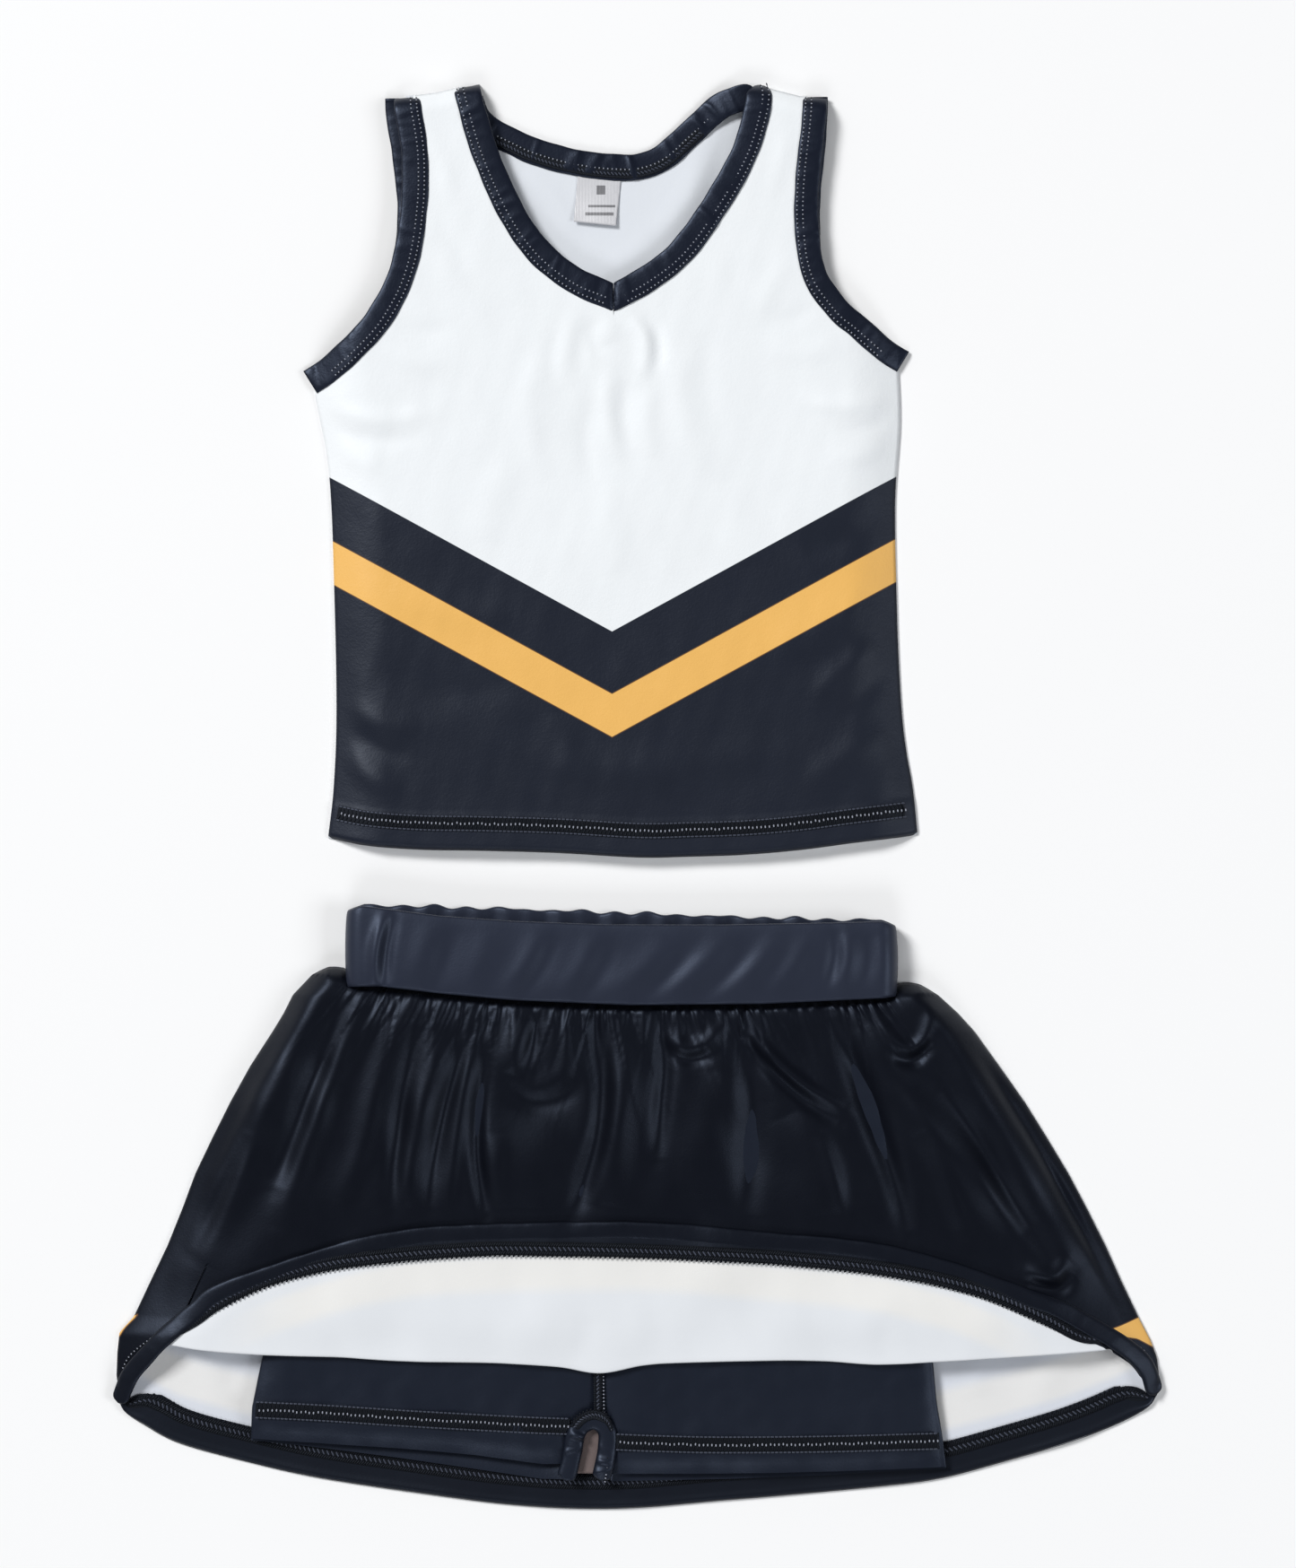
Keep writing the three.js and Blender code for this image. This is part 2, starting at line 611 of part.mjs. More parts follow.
  // The seam down the middle of the shorts, and the folded gusset that it ends in.
  const seamWidth = 3;
  const seamLength = crotch.y - panelTop;
  const seamMiddle = point(crotch.x, (crotch.y + panelTop) / 2);
  group.add(
    garmentMesh(
      "shorts_centre_seam",
      prism(
        bar(seamMiddle, seamWidth, Math.abs(seamLength) - 2 * gap, 0),
        shortsTop + cloth + gap,
        stitchHeight,
      ),
      navyThread,
    ),
  );
  const arch = (width, length) => {
    const r = width / 2;
    const round = new THREE.Path();
    round.absarc(crotch.x, crotch.y - r, r, 0, Math.PI, false);
    return [...round.getPoints(8), point(crotch.x - r, crotch.y - length), point(crotch.x + r, crotch.y - length)];
  };
  const slot = arch(gusset.width - 2 * gusset.wall, gusset.length + 5).map((p) => point(p.x, p.y - gusset.wall));
  const gussetSolid = prism(
    arch(gusset.width, gusset.length),
    shorts.base,
    hollowHeight + 2 * cloth + gusset.rise,
  ).subtract(
    prism(slot, -1, tall),
  );
  group.add(garmentMesh("shorts_gusset", gussetSolid, navyKnit));
  return group;
}

// ---- Layout ------------------------------------------------------------------------------------------------

const uniform = new THREE.Group();
const topGroup = makeTop();
const skirtGroup = makeSkirt();
skirtGroup.position.set(3, -garmentGap - skirt.waistbandHeight, 0);
uniform.add(topGroup, skirtGroup);

// The origin is on the surface, under the middle of the whole layout.
const bounds = new THREE.Box3().setFromObject(uniform);
const middle = bounds.getCenter(new THREE.Vector3());
for (const garment of uniform.children) {
  garment.position.x -= middle.x;
  garment.position.y -= middle.y;
}

export default uniform;
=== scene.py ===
import math

import bpy
import numpy as np
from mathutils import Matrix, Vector


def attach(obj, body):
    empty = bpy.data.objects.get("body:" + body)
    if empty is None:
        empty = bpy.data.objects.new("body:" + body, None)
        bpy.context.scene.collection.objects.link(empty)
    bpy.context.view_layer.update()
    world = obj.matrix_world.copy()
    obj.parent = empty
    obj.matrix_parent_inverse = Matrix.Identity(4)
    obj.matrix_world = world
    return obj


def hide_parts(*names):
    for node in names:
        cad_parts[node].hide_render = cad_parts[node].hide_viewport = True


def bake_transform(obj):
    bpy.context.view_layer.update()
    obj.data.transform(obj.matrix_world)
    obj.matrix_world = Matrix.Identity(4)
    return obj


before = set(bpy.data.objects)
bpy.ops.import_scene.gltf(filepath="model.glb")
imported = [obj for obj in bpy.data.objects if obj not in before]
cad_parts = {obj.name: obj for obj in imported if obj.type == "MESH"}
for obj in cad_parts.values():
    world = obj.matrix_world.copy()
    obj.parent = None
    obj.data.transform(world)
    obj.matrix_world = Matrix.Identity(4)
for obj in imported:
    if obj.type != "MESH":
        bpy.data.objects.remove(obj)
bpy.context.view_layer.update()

# A cheer uniform laid flat. Lengths in this script are millimetres until a mesh is made. +Y is towards the
# shoulders, +Z is up from the surface that the uniform lies on.
MM = 0.001
SKIRT, TOP, FLAP, LABEL = "skirt", "top", "front_hem", "label"


# ---- Curves, folds and outlines ----------------------------------------------

def curve(points, count):
    """A smooth curve through the points, as evenly spaced samples."""
    p = np.asarray(points, float)
    ends = np.vstack([2 * p[0] - p[1], p, 2 * p[-1] - p[-2]])
    fine = []
    for i in range(len(p) - 1):
        a, b, c, d = ends[i:i + 4]
        t = np.linspace(0, 1, 24, endpoint=False)[:, None]
        fine.append(0.5 * (2 * b + (c - a) * t + (2 * a - 5 * b + 4 * c - d) * t ** 2
                           + (3 * b - a - 3 * c + d) * t ** 3))
    fine = np.vstack(fine + [p[-1:]])
    s = np.r_[0, np.cumsum(np.linalg.norm(np.diff(fine, axis=0), axis=1))]
    want = np.linspace(0, s[-1], count)
    return np.stack([np.interp(want, s, fine[:, k]) for k in range(fine.shape[1])], 1)


def arc_length(p):
    """How far along a polyline each of its points is."""
    return np.r_[0, np.cumsum(np.linalg.norm(np.diff(p, axis=0), axis=1))]


def sideways(p):
    """Unit vectors to the left of a plane curve's direction."""
    t = np.gradient(p[:, :2], axis=0)
    t /= np.linalg.norm(t, axis=1)[:, None]
    return np.stack([-t[:, 1], t[:, 0]], 1)


def shifted(p, distance):
    """A plane curve moved to its left."""
    return p[:, :2] + sideways(p) * distance


def smooth(a, b, x):
    """0 up to a, 1 from b, and an even rise between them."""
    t = np.clip((x - a) / (b - a), 0, 1)
    return t * t * (3 - 2 * t)


def table(points, key=0):
    """y of x, or x of y, by straight lines through the points."""
    p = np.asarray(sorted(map(tuple, points), key=lambda q: q[key]), float)
    return lambda v: np.interp(v, p[:, key], p[:, 1 - key])


def to_line(x, y, line):
    """Distance from each point to a polyline, and how far along it that is (0 to 1)."""
    line = np.asarray(line, float)
    s = arc_length(line)
    best = np.full(np.shape(x), 1e9)
    along = np.zeros(np.shape(x))
    for i in range(len(line) - 1):
        a, b = line[i], line[i + 1]
        d = b - a
        t = np.clip(((x - a[0]) * d[0] + (y - a[1]) * d[1]) / (d @ d), 0, 1)
        px, py = x - a[0] - t * d[0], y - a[1] - t * d[1]
        dist = np.hypot(px, py)
        nearer = dist < best
        best = np.where(nearer, dist, best)
        along = np.where(nearer, (s[i] + t * (s[i + 1] - s[i])) / s[-1], along)
    return best, along


def folds(x, y, rows):
    """Height from a list of folds: (height, width, points). Each swells from its ends towards its middle."""
    z = np.zeros(np.shape(x))
    for height, width, points in rows:
        line = np.asarray(points, float)
        lo, hi = line.min(0) - 3.2 * abs(width), line.max(0) + 3.2 * abs(width)
        near = (x > lo[0]) & (x < hi[0]) & (y > lo[1]) & (y < hi[1])
        if not near.any():
            continue
        fine = curve(line, 14) if len(line) > 2 else line
        d, along = to_line(x[near], y[near], fine)
        swell = np.sin(np.pi * np.clip(along, 0.02, 0.98)) ** 0.7
        z[near] += height * swell * np.exp(-(d / width) ** 2)
    return z


def inside(x, y, polygon):
    """True where a point is inside the polygon."""
    poly = np.asarray(polygon, float)
    result = np.zeros(np.shape(x), bool)
    for (x1, y1), (x2, y2) in zip(poly, np.roll(poly, -1, axis=0)):
        if y1 == y2:
            continue
        result ^= ((y1 > y) != (y2 > y)) & (x < (x2 - x1) * (y - y1) / (y2 - y1) + x1)
    return result


def signed(x, y, polygon):
    """Distance to a polygon's outline, positive inside."""
    ring = np.vstack([polygon, polygon[:1]])
    d, _ = to_line(x, y, ring)
    return np.where(inside(x, y, polygon), d, -d)


def wobble(x, y, scale, seed):
    """Smooth noise between about -1 and 1, from fourteen plane waves."""
    rng = np.random.default_rng(seed)
    z = np.zeros(np.shape(x))
    for _ in range(14):
        angle, phase = rng.uniform(0, 2 * np.pi, 2)
        k = 2 * np.pi / (scale * rng.uniform(0.7, 1.6))
        z += np.sin(k * (x * np.cos(angle) + y * np.sin(angle)) + phase)
    return z / 3.7


# ---- Making meshes -----------------------------------------------------------

LOWEST = 0.02


def placed(name, data):
    """A new object in the scene."""
    thing = bpy.data.objects.new(name, data)
    bpy.context.scene.collection.objects.link(thing)
    return thing


def make(name, verts, faces, materials, index=None, attributes=None):
    """A smooth-shaded object. No point of it goes under the surface that it lies on."""
    mesh = bpy.data.meshes.new(name)
    verts = np.array(verts, float)
    verts[:, 2] = np.maximum(verts[:, 2], LOWEST)
    mesh.from_pydata((verts * MM).tolist(), [], [list(map(int, f)) for f in faces])
    for m in materials:
        mesh.materials.append(m)
    if index is not None:
        mesh.polygons.foreach_set("material_index", np.asarray(index, np.int32))
    mesh.polygons.foreach_set("use_smooth", np.ones(len(mesh.polygons), bool))
    for key, values in (attributes or {}).items():
        layer = mesh.attributes.new(key, "FLOAT", "POINT")
        layer.data.foreach_set("value", np.asarray(values, np.float32))
    mesh.update()
    mesh.validate()
    return placed(name, mesh)


def ruled(a, b, share):
    """x and y of rows of points between two curves, each row a share of the way from a to b."""
    return [a[None, :, k] * (1 - share) + b[None, :, k] * share for k in range(2)]


def quads(rows, columns, mask=None):
    """Faces of a grid of points, without those whose four corners aren't all kept."""
    i, j = np.meshgrid(np.arange(rows - 1), np.arange(columns - 1), indexing="ij")
    f = np.stack([i * columns + j, i * columns + j + 1, (i + 1) * columns + j + 1, (i + 1) * columns + j], -1)
    if mask is not None:
        f = f[mask[:-1, :-1] & mask[1:, :-1] & mask[:-1, 1:] & mask[1:, 1:]]
    return f.reshape(-1, 4)


def shell(name, grid, thickness, upper, lower, mask=None, attributes=None):
    """A layer of cloth: a grid of points and the same grid under it, closed round the edge."""
    rows, columns, _ = grid.shape
    top = quads(rows, columns, mask)
    flat = grid.reshape(-1, 3)
    used = np.unique(top)
    renumber = np.full(len(flat), -1)
    renumber[used] = np.arange(len(used))
    top = renumber[top]
    a = flat[used]
    du, dv = np.gradient(grid, axis=1), np.gradient(grid, axis=0)
    normal = np.cross(du, dv).reshape(-1, 3)[used]
    normal /= np.maximum(np.linalg.norm(normal, axis=1), 1e-9)[:, None]
    if normal[:, 2].mean() < 0:
        normal, top = -normal, top[:, ::-1]
    b = a - normal * thickness
    n = len(a)
    bottom = top[:, ::-1] + n
    edges = np.concatenate([top[:, [k, (k + 1) % 4]] for k in range(4)])
    key = edges[:, 0] * n + edges[:, 1]
    border = edges[~np.isin(key, edges[:, 1] * n + edges[:, 0])]
    rim = np.stack([border[:, 1], border[:, 0], border[:, 0] + n, border[:, 1] + n], 1)
    faces = np.concatenate([top, bottom, rim])
    index = np.r_[np.zeros(len(top)), np.ones(len(bottom)), np.zeros(len(rim))]
    values = {k: np.tile(v.reshape(-1)[used], 2) for k, v in (attributes or {}).items()}
    return make(name, np.vstack([a, b]), faces, [upper, lower], index, values)


def tube(name, rings, material, cap=True):
    """A closed skin round a row of rings of points."""
    count, around, _ = rings.shape
    i, j = np.meshgrid(np.arange(count - 1), np.arange(around), indexing="ij")
    k = (j + 1) % around
    f = np.stack([i * around + j, (i + 1) * around + j, (i + 1) * around + k, i * around + k], -1)
    faces = f.reshape(-1, 4).tolist()
    if cap:
        faces += [list(range(around)), list(range(count * around - 1, (count - 1) * around - 1, -1))]
    return make(name, rings.reshape(-1, 3), faces, [material])


# A thread is a short bar with this many sides, a little flat, and rounded by its stations: (place, width).
BAR_AROUND, BAR_FLATNESS = 6, 0.8
BAR_STATIONS = np.array([[0.0, 0.35], [0.12, 0.85], [0.35, 1.0], [0.65, 1.0], [0.88, 0.85], [1.0, 0.35]])


def bars(name, starts, ends, radius, materials, index):
    """Many short rounded bars in one mesh."""
    along = ends - starts
    length = np.maximum(np.linalg.norm(along, axis=1), 1e-6)
    t = along / length[:, None]
    up = np.tile([0.0, 0.0, 1.0], (len(t), 1))
    steep = np.abs(t[:, 2]) > 0.9
    up[steep] = [1.0, 0.0, 0.0]
    side = np.cross(up, t)
    side /= np.linalg.norm(side, axis=1)[:, None]
    up = np.cross(t, side)
    angle = np.linspace(0, 2 * np.pi, BAR_AROUND, endpoint=False)
    verts = []
    for share, swell in BAR_STATIONS:
        centre = starts + along * share
        for a in angle:
            verts.append(centre + (side * np.cos(a) + up * np.sin(a) * BAR_FLATNESS) * (radius * swell)[:, None])
    stations = len(BAR_STATIONS)
    verts = np.stack(verts, 1)
    local = []
    for i in range(stations - 1):
        for j in range(BAR_AROUND):
            k = (j + 1) % BAR_AROUND
            here, there = i * BAR_AROUND, (i + 1) * BAR_AROUND
            local.append([here + j, here + k, there + k, there + j])
    local = np.array(local)
    offsets = np.arange(len(starts)) * stations * BAR_AROUND
    faces = (local[None] + offsets[:, None, None]).reshape(-1, 4).tolist()
    first = list(range(BAR_AROUND))[::-1]
    last = [(stations - 1) * BAR_AROUND + j for j in range(BAR_AROUND)]
    for o in offsets:
        faces += [[o + q for q in first], [o + q for q in last]]
    index = np.r_[np.repeat(index, len(local)), np.repeat(index, 2)]
    return make(name, verts.reshape(-1, 3), faces, materials, index)


# ---- Materials ---------------------------------------------------------------

def srgb(r, g, b):
    """A colour from 0 to 255 a channel, as Blender's linear values."""
    def linear(c):
        c /= 255
        return c / 12.92 if c <= 0.04045 else ((c + 0.055) / 1.055) ** 2.4
    return (linear(r), linear(g), linear(b), 1.0)


class Nodes:
    """A material's node tree, with short names for what is used here."""

    def __init__(self, name):
        self.material = bpy.data.materials.new(name)
        self.material.use_nodes = True
        self.tree = self.material.node_tree
        self.tree.nodes.clear()
        self.shader = self.add("ShaderNodeBsdfPrincipled")
        output = self.add("ShaderNodeOutputMaterial")
        self.link(self.shader.outputs[0], output.inputs["Surface"])
        self.place = self.add("ShaderNodeTexCoord").outputs["Object"]

    def add(self, kind, sockets=None, **settings):
        """A new node, with its settings and what goes into its sockets."""
        node = self.tree.nodes.new(kind)
        for key, value in settings.items():
            setattr(node, key, value)
        self.fill(node, sockets or {})
        return node

    def fill(self, node, sockets):
        for key, value in sockets.items():
            self.put(node.inputs[key], value)

    def link(self, a, b):
        self.tree.links.new(a, b)

    def put(self, socket, value):
        if isinstance(value, (int, float, tuple)):
            socket.default_value = value
        else:
            self.link(value, socket)

    def math(self, operation, a, b=0.0, clamp=False):
        return self.add("ShaderNodeMath", {0: a, 1: b}, operation=operation, use_clamp=clamp).outputs[0]

    def axes(self):
        return self.add("ShaderNodeSeparateXYZ", {0: self.place}).outputs

    def noise(self, size, detail=3.0):
        sockets = {"Scale": 1 / size, "Detail": detail, "Roughness": 0.55, "Vector": self.place}
        return self.add("ShaderNodeTexNoise", sockets).outputs["Fac"]

    def cells(self, size):
        sockets = {"Scale": 1 / size, "Vector": self.place}
        return self.add("ShaderNodeTexVoronoi", sockets, feature="SMOOTH_F1").outputs["Distance"]

    def attribute(self, name):
        return self.add("ShaderNodeAttribute", attribute_name=name).outputs["Fac"]

    def above(self, value, limit, soft=0.00012):
        sockets = {"Value": value, "From Min": limit - soft, "From Max": limit + soft}
        return self.add("ShaderNodeMapRange", sockets, clamp=True).outputs["Result"]

    def between(self, value, low, high, soft=0.00012):
        return self.math("MULTIPLY", self.above(value, low, soft),
                         self.math("SUBTRACT", 1.0, self.above(value, high, soft)))

    def mix(self, share, a, b, blend="MIX"):
        return self.add("ShaderNodeMix", {0: share, 6: a, 7: b}, data_type="RGBA", blend_type=blend).outputs[2]

    def patches(self, size, low, high):
        """Soft patches of values from low to high."""
        sockets = {"Value": self.noise(size), "To Min": low, "To Max": high}
        return self.add("ShaderNodeMapRange", sockets).outputs[0]

    def varied(self, colour, amount, size):
        """The colour, made a little lighter and darker in soft patches."""
        shade = self.patches(size, 1 - amount, 1 + amount)
        grey = self.add("ShaderNodeCombineColor", {0: shade, 1: shade, 2: shade})
        return self.mix(1.0, colour, grey.outputs[0], "MULTIPLY")

    def bump(self, parts):
        """Bumps on top of each other: (height output, depth in metres)."""
        normal = None
        for height, depth in parts:
            node = self.add("ShaderNodeBump", {"Strength": 1.0, "Distance": depth, "Height": height})
            if normal:
                self.link(normal, node.inputs["Normal"])
            normal = node.outputs[0]
        self.link(normal, self.shader.inputs["Normal"])

    def rib(self, pitch, axis):
        """Fine ribs across one axis."""
        return self.math("SINE", self.math("MULTIPLY", self.axes()[axis], 2 * math.pi / pitch))

    def finish(self, colour, roughness, spread, sheen=0.0, specular=0.5, gloss=(1.0, 1.0, 1.0, 1.0)):
        """Sets the shader. The roughness varies by spread, and gloss is the colour of the reflections."""
        grain = self.patches(0.012, roughness - spread, roughness + spread)
        self.fill(self.shader, {"Base Color": colour, "Roughness": grain, "Sheen Weight": sheen,
                                "Sheen Roughness": 0.4, "Specular IOR Level": specular,
                                "Specular Tint": gloss})
        return self.material


WHITE = srgb(238, 241, 243)
INNER_WHITE = srgb(225, 228, 232)
NAVY = srgb(18, 23, 36)
YELLOW = srgb(236, 183, 98)
YELLOW_EDGE = srgb(96, 66, 40)

# The chevron's point is at x. Its edges rise by slope, from these heights at the point.
CHEVRON = {"x": -12.5, "slope": 0.547, "white": 78.5, "yellow_top": 48.5, "yellow_bottom": 28.0}


def knit_bumps(n, depth=1.0):
    """Fine loops of knit, and the soft unevenness of the cloth."""
    return [(n.cells(0.0011), 0.00005 * depth), (n.noise(0.0006, 2.0), 0.00006 * depth),
            (n.noise(0.004, 2.0), 0.0001 * depth)]


def chevron_print():
    """White above, navy below, with a yellow stripe that has a thin dark rim."""
    n = Nodes("white_knit_with_chevron")
    x, y, _ = n.axes()
    across = n.math("ABSOLUTE", n.math("SUBTRACT", x, CHEVRON["x"] * MM))
    level = n.math("SUBTRACT", y, n.math("MULTIPLY", across, CHEVRON["slope"]))
    navy = n.varied(NAVY, 0.1, 0.02)
    colour = n.mix(n.above(level, CHEVRON["white"] * MM), navy, n.varied(WHITE, 0.015, 0.05))
    low, high = CHEVRON["yellow_bottom"] * MM, CHEVRON["yellow_top"] * MM
    rim = 0.0005
    colour = n.mix(n.between(level, low - rim, high + rim), colour, YELLOW_EDGE)
    colour = n.mix(n.between(level, low, high), colour, n.varied(YELLOW, 0.03, 0.015))
    n.bump(knit_bumps(n))
    return n.finish(colour, 0.5, 0.05, specular=0.35, gloss=(0.8, 0.87, 1.0, 1.0))


BLUE_GLOSS = (0.62, 0.74, 1.0, 1.0)


def plain_knit(name, colour, roughness, amount=0.08, sheen=0.0, depth=1.0, specular=0.5, gloss=BLUE_GLOSS):
    n = Nodes(name)
    n.bump(knit_bumps(n, depth))
    return n.finish(n.varied(colour, amount, 0.02), roughness, 0.05, sheen=sheen, specular=specular, gloss=gloss)


def skirt_print(name, base):
    """Navy cloth with a yellow stripe where the stripe attribute is over zero."""
    n = Nodes(name)
    stripe = n.attribute("stripe")
    colour = n.varied(base, 0.08, 0.02)
    colour = n.mix(n.above(stripe, -0.5, 0.1), colour, YELLOW_EDGE)
    colour = n.mix(n.above(stripe, 0.0, 0.1), colour, n.varied(YELLOW, 0.04, 0.012))
    n.bump(knit_bumps(n, 0.45))
    return n.finish(colour, 0.44, 0.05, specular=0.25, gloss=BLUE_GLOSS)


def lining(name, base=INNER_WHITE):
    """The white reverse of the print. Where the show attribute is high, the stripe shows through a little."""
    n = Nodes(name)
    warm = n.mix(n.math("MULTIPLY", n.attribute("show"), 0.55), n.varied(base, 0.012, 0.04),
                 srgb(238, 234, 226))
    n.bump([(n.noise(0.0007, 2.0), 0.00003), (n.noise(0.006), 0.00008)])
    return n.finish(warm, 0.7, 0.04, sheen=0.1, specular=0.3)


def thread(name, colour, roughness=0.55):
    n = Nodes(name)
    n.bump([(n.noise(0.0003, 2.0), 0.00005)])
    return n.finish(n.varied(colour, 0.15, 0.003), roughness, 0.1, specular=0.25, gloss=(0.7, 0.8, 1.0, 1.0))


# Generic bars on the label: (x0, x1, y0, y1) from the corner LABEL_CORNER.
LABEL_CORNER = (-29.0, 271.0)
LABEL_BARS = [(9.0, 13.2, 17.8, 22.2), (5.0, 18.0, 11.6, 12.8), (3.6, 17.2, 7.6, 9.2)]


def label_material():
    """Pale satin ribbon with a few grey bars."""
    n = Nodes("label_satin")
    x, y, _ = n.axes()
    u, v = (n.math("SUBTRACT", axis, corner * MM) for axis, corner in zip((x, y), LABEL_CORNER))
    ink = None
    for x0, x1, y0, y1 in LABEL_BARS:
        one = n.math("MULTIPLY", n.between(u, x0 * MM, x1 * MM, 0.0001),
                     n.between(v, y0 * MM, y1 * MM, 0.0001))
        ink = one if ink is None else n.math("ADD", ink, one, clamp=True)
    colour = n.mix(n.math("MULTIPLY", ink, 0.8), n.varied(srgb(201, 201, 205), 0.03, 0.004), srgb(60, 60, 66))
    n.bump([(n.rib(0.0006, 0), 0.00003), (n.noise(0.0008), 0.00004)])
    return n.finish(colour, 0.38, 0.06, sheen=0.1, specular=0.6)


PRINTED = chevron_print()
INSIDE = plain_knit("white_knit_inside", srgb(222, 226, 232), 0.65, amount=0.015, sheen=0.1, depth=0.6,
                    gloss=WHITE)
SATIN = skirt_print("navy_skirt_print", srgb(5, 6, 13))
SATIN_PLAIN = plain_knit("navy_skirt_plain", srgb(8, 10, 18), 0.42, depth=0.5, specular=0.3)
BAND_CLOTH = plain_knit("navy_waistband", srgb(36, 40, 53), 0.44, depth=0.5, specular=0.36)
SHORTS_CLOTH = plain_knit("navy_shorts", srgb(14, 18, 29), 0.44, depth=0.5, specular=0.45)
BINDING = plain_knit("navy_binding", srgb(11, 15, 28), 0.42, depth=0.8, specular=0.4)
# painted shade: the white reverse in the gap between the legs, coloured brownish grey for the shade in the gap
GUSSET_PAINTED_SHADE = plain_knit("gusset_lining_painted_shade", srgb(112, 98, 96), 0.7, gloss=WHITE)
REVERSE = lining("white_reverse")
# The back's white reverse, with painted shade: it is made darker than the front's for the shade that the turn-up
# casts.
REVERSE_BACK_PAINTED_SHADE = lining("white_reverse_back_painted_shade", srgb(213, 217, 225))
HEM_INSIDE = plain_knit("navy_hem_allowance", srgb(9, 11, 18), 0.5, depth=0.6, specular=0.3)
THREAD = thread("navy_thread", srgb(7, 8, 12))
DOTS = thread("needle_holes", srgb(154, 158, 170), 0.4)
GLINT = thread("thread_glint", srgb(66, 70, 82), 0.35)
ELASTIC = plain_knit("ribbed_elastic", srgb(225, 225, 222), 0.8, gloss=WHITE)


# ---- The top -----------------------------------------------------------------

TOP_LEFT = curve([(-149.2, -20.6), (-146.6, 3), (-145.2, 37), (-146, 89), (-148.6, 153), (-155.4, 192)], 60)
TOP_RIGHT = curve([(134.4, -18.7), (132.2, 3), (129.2, 20), (127.1, 37), (125.6, 60), (124.5, 89),
                   (123.6, 140), (126, 178), (125.3, 204)], 60)
TOP_HEM = curve([(-149.2, -20.6), (-129.6, -24.3), (-103.8, -26.2), (-78, -26.6), (-39, -27.7), (0, -29.9),
                 (25, -29.5), (51, -28.6), (77, -26.4), (103, -23), (128.4, -20.0), (134.4, -18.7)], 120)
top_left, top_right, top_hem = table(TOP_LEFT, 1), table(TOP_RIGHT, 1), table(TOP_HEM)

NECK_LEFT = [(-82.6, 340.6), (-80.4, 331.7), (-77.5, 321), (-74.2, 310.2), (-70.1, 299.5), (-65.4, 288.7),
             (-60, 278), (-53.1, 267.2), (-43.5, 256.5), (-29.5, 246.3), (-11.8, 238.6)]
NECK_RIGHT = [(57.0, 341.4), (58.0, 336.5), (57.4, 330.0), (55.3, 321), (51.9, 310.2), (46.9, 299.5), (40.7, 288.7),
              (33.8, 278), (26.3, 267.2), (16.6, 256.5), (3.0, 246.6), (-11.8, 238.6)]
NECK_BACK = [(-80.5, 334), (-77, 325), (-69, 318.5), (-60, 314.2), (-52, 310.4), (-39, 306.3), (-26, 303.5),
             (-13, 302), (0, 302.2), (12, 306.8), (25, 318.2), (38, 330.0), (46, 333.6), (52, 335.0), (57, 334.6)]
ARM_LEFT = [(-110.9, 334.9), (-110.2, 328), (-108.4, 318), (-107.2, 309), (-106.8, 299.5), (-106.9, 288.7),
            (-107.8, 278), (-109.2, 267.2), (-111.4, 256.5), (-114.9, 245.7), (-120.2, 235), (-127.4, 224.2),
            (-137.8, 213.5), (-148.5, 204.5), (-157.8, 198.6)]
ARM_LEFT_BACK = [(x - 5.2 * math.exp(-((y - 318) / 38) ** 2), y) for x, y in ARM_LEFT]
ARM_RIGHT = [(84.7, 335.4), (84.6, 330), (83.9, 321), (82.7, 310.2), (81.5, 299.5), (80.7, 288.7), (80.5, 278),
             (81.2, 267.2), (82.6, 256.5), (86.2, 245.7), (93.9, 235), (99.0, 229.5), (104.4, 225.4),
             (117.6, 214.4), (127.4, 208.4)]
ARM_RIGHT_BACK = [(x + 1.5 * math.exp(-((y - 300) / 40) ** 2), y) for x, y in ARM_RIGHT]
SHOULDER = table([(-119, 335.5), (-104, 336.6), (-96, 337.6), (-86, 340.2), (-74, 341.5), (50, 341.5), (60, 340.5),
                  (66, 338.8), (78, 335.8), (92, 335.2)])

TOP_CROWN, TOP_EDGE, TOP_ROLL, CLOTH = 8.6, 1.0, 26.0, 0.7

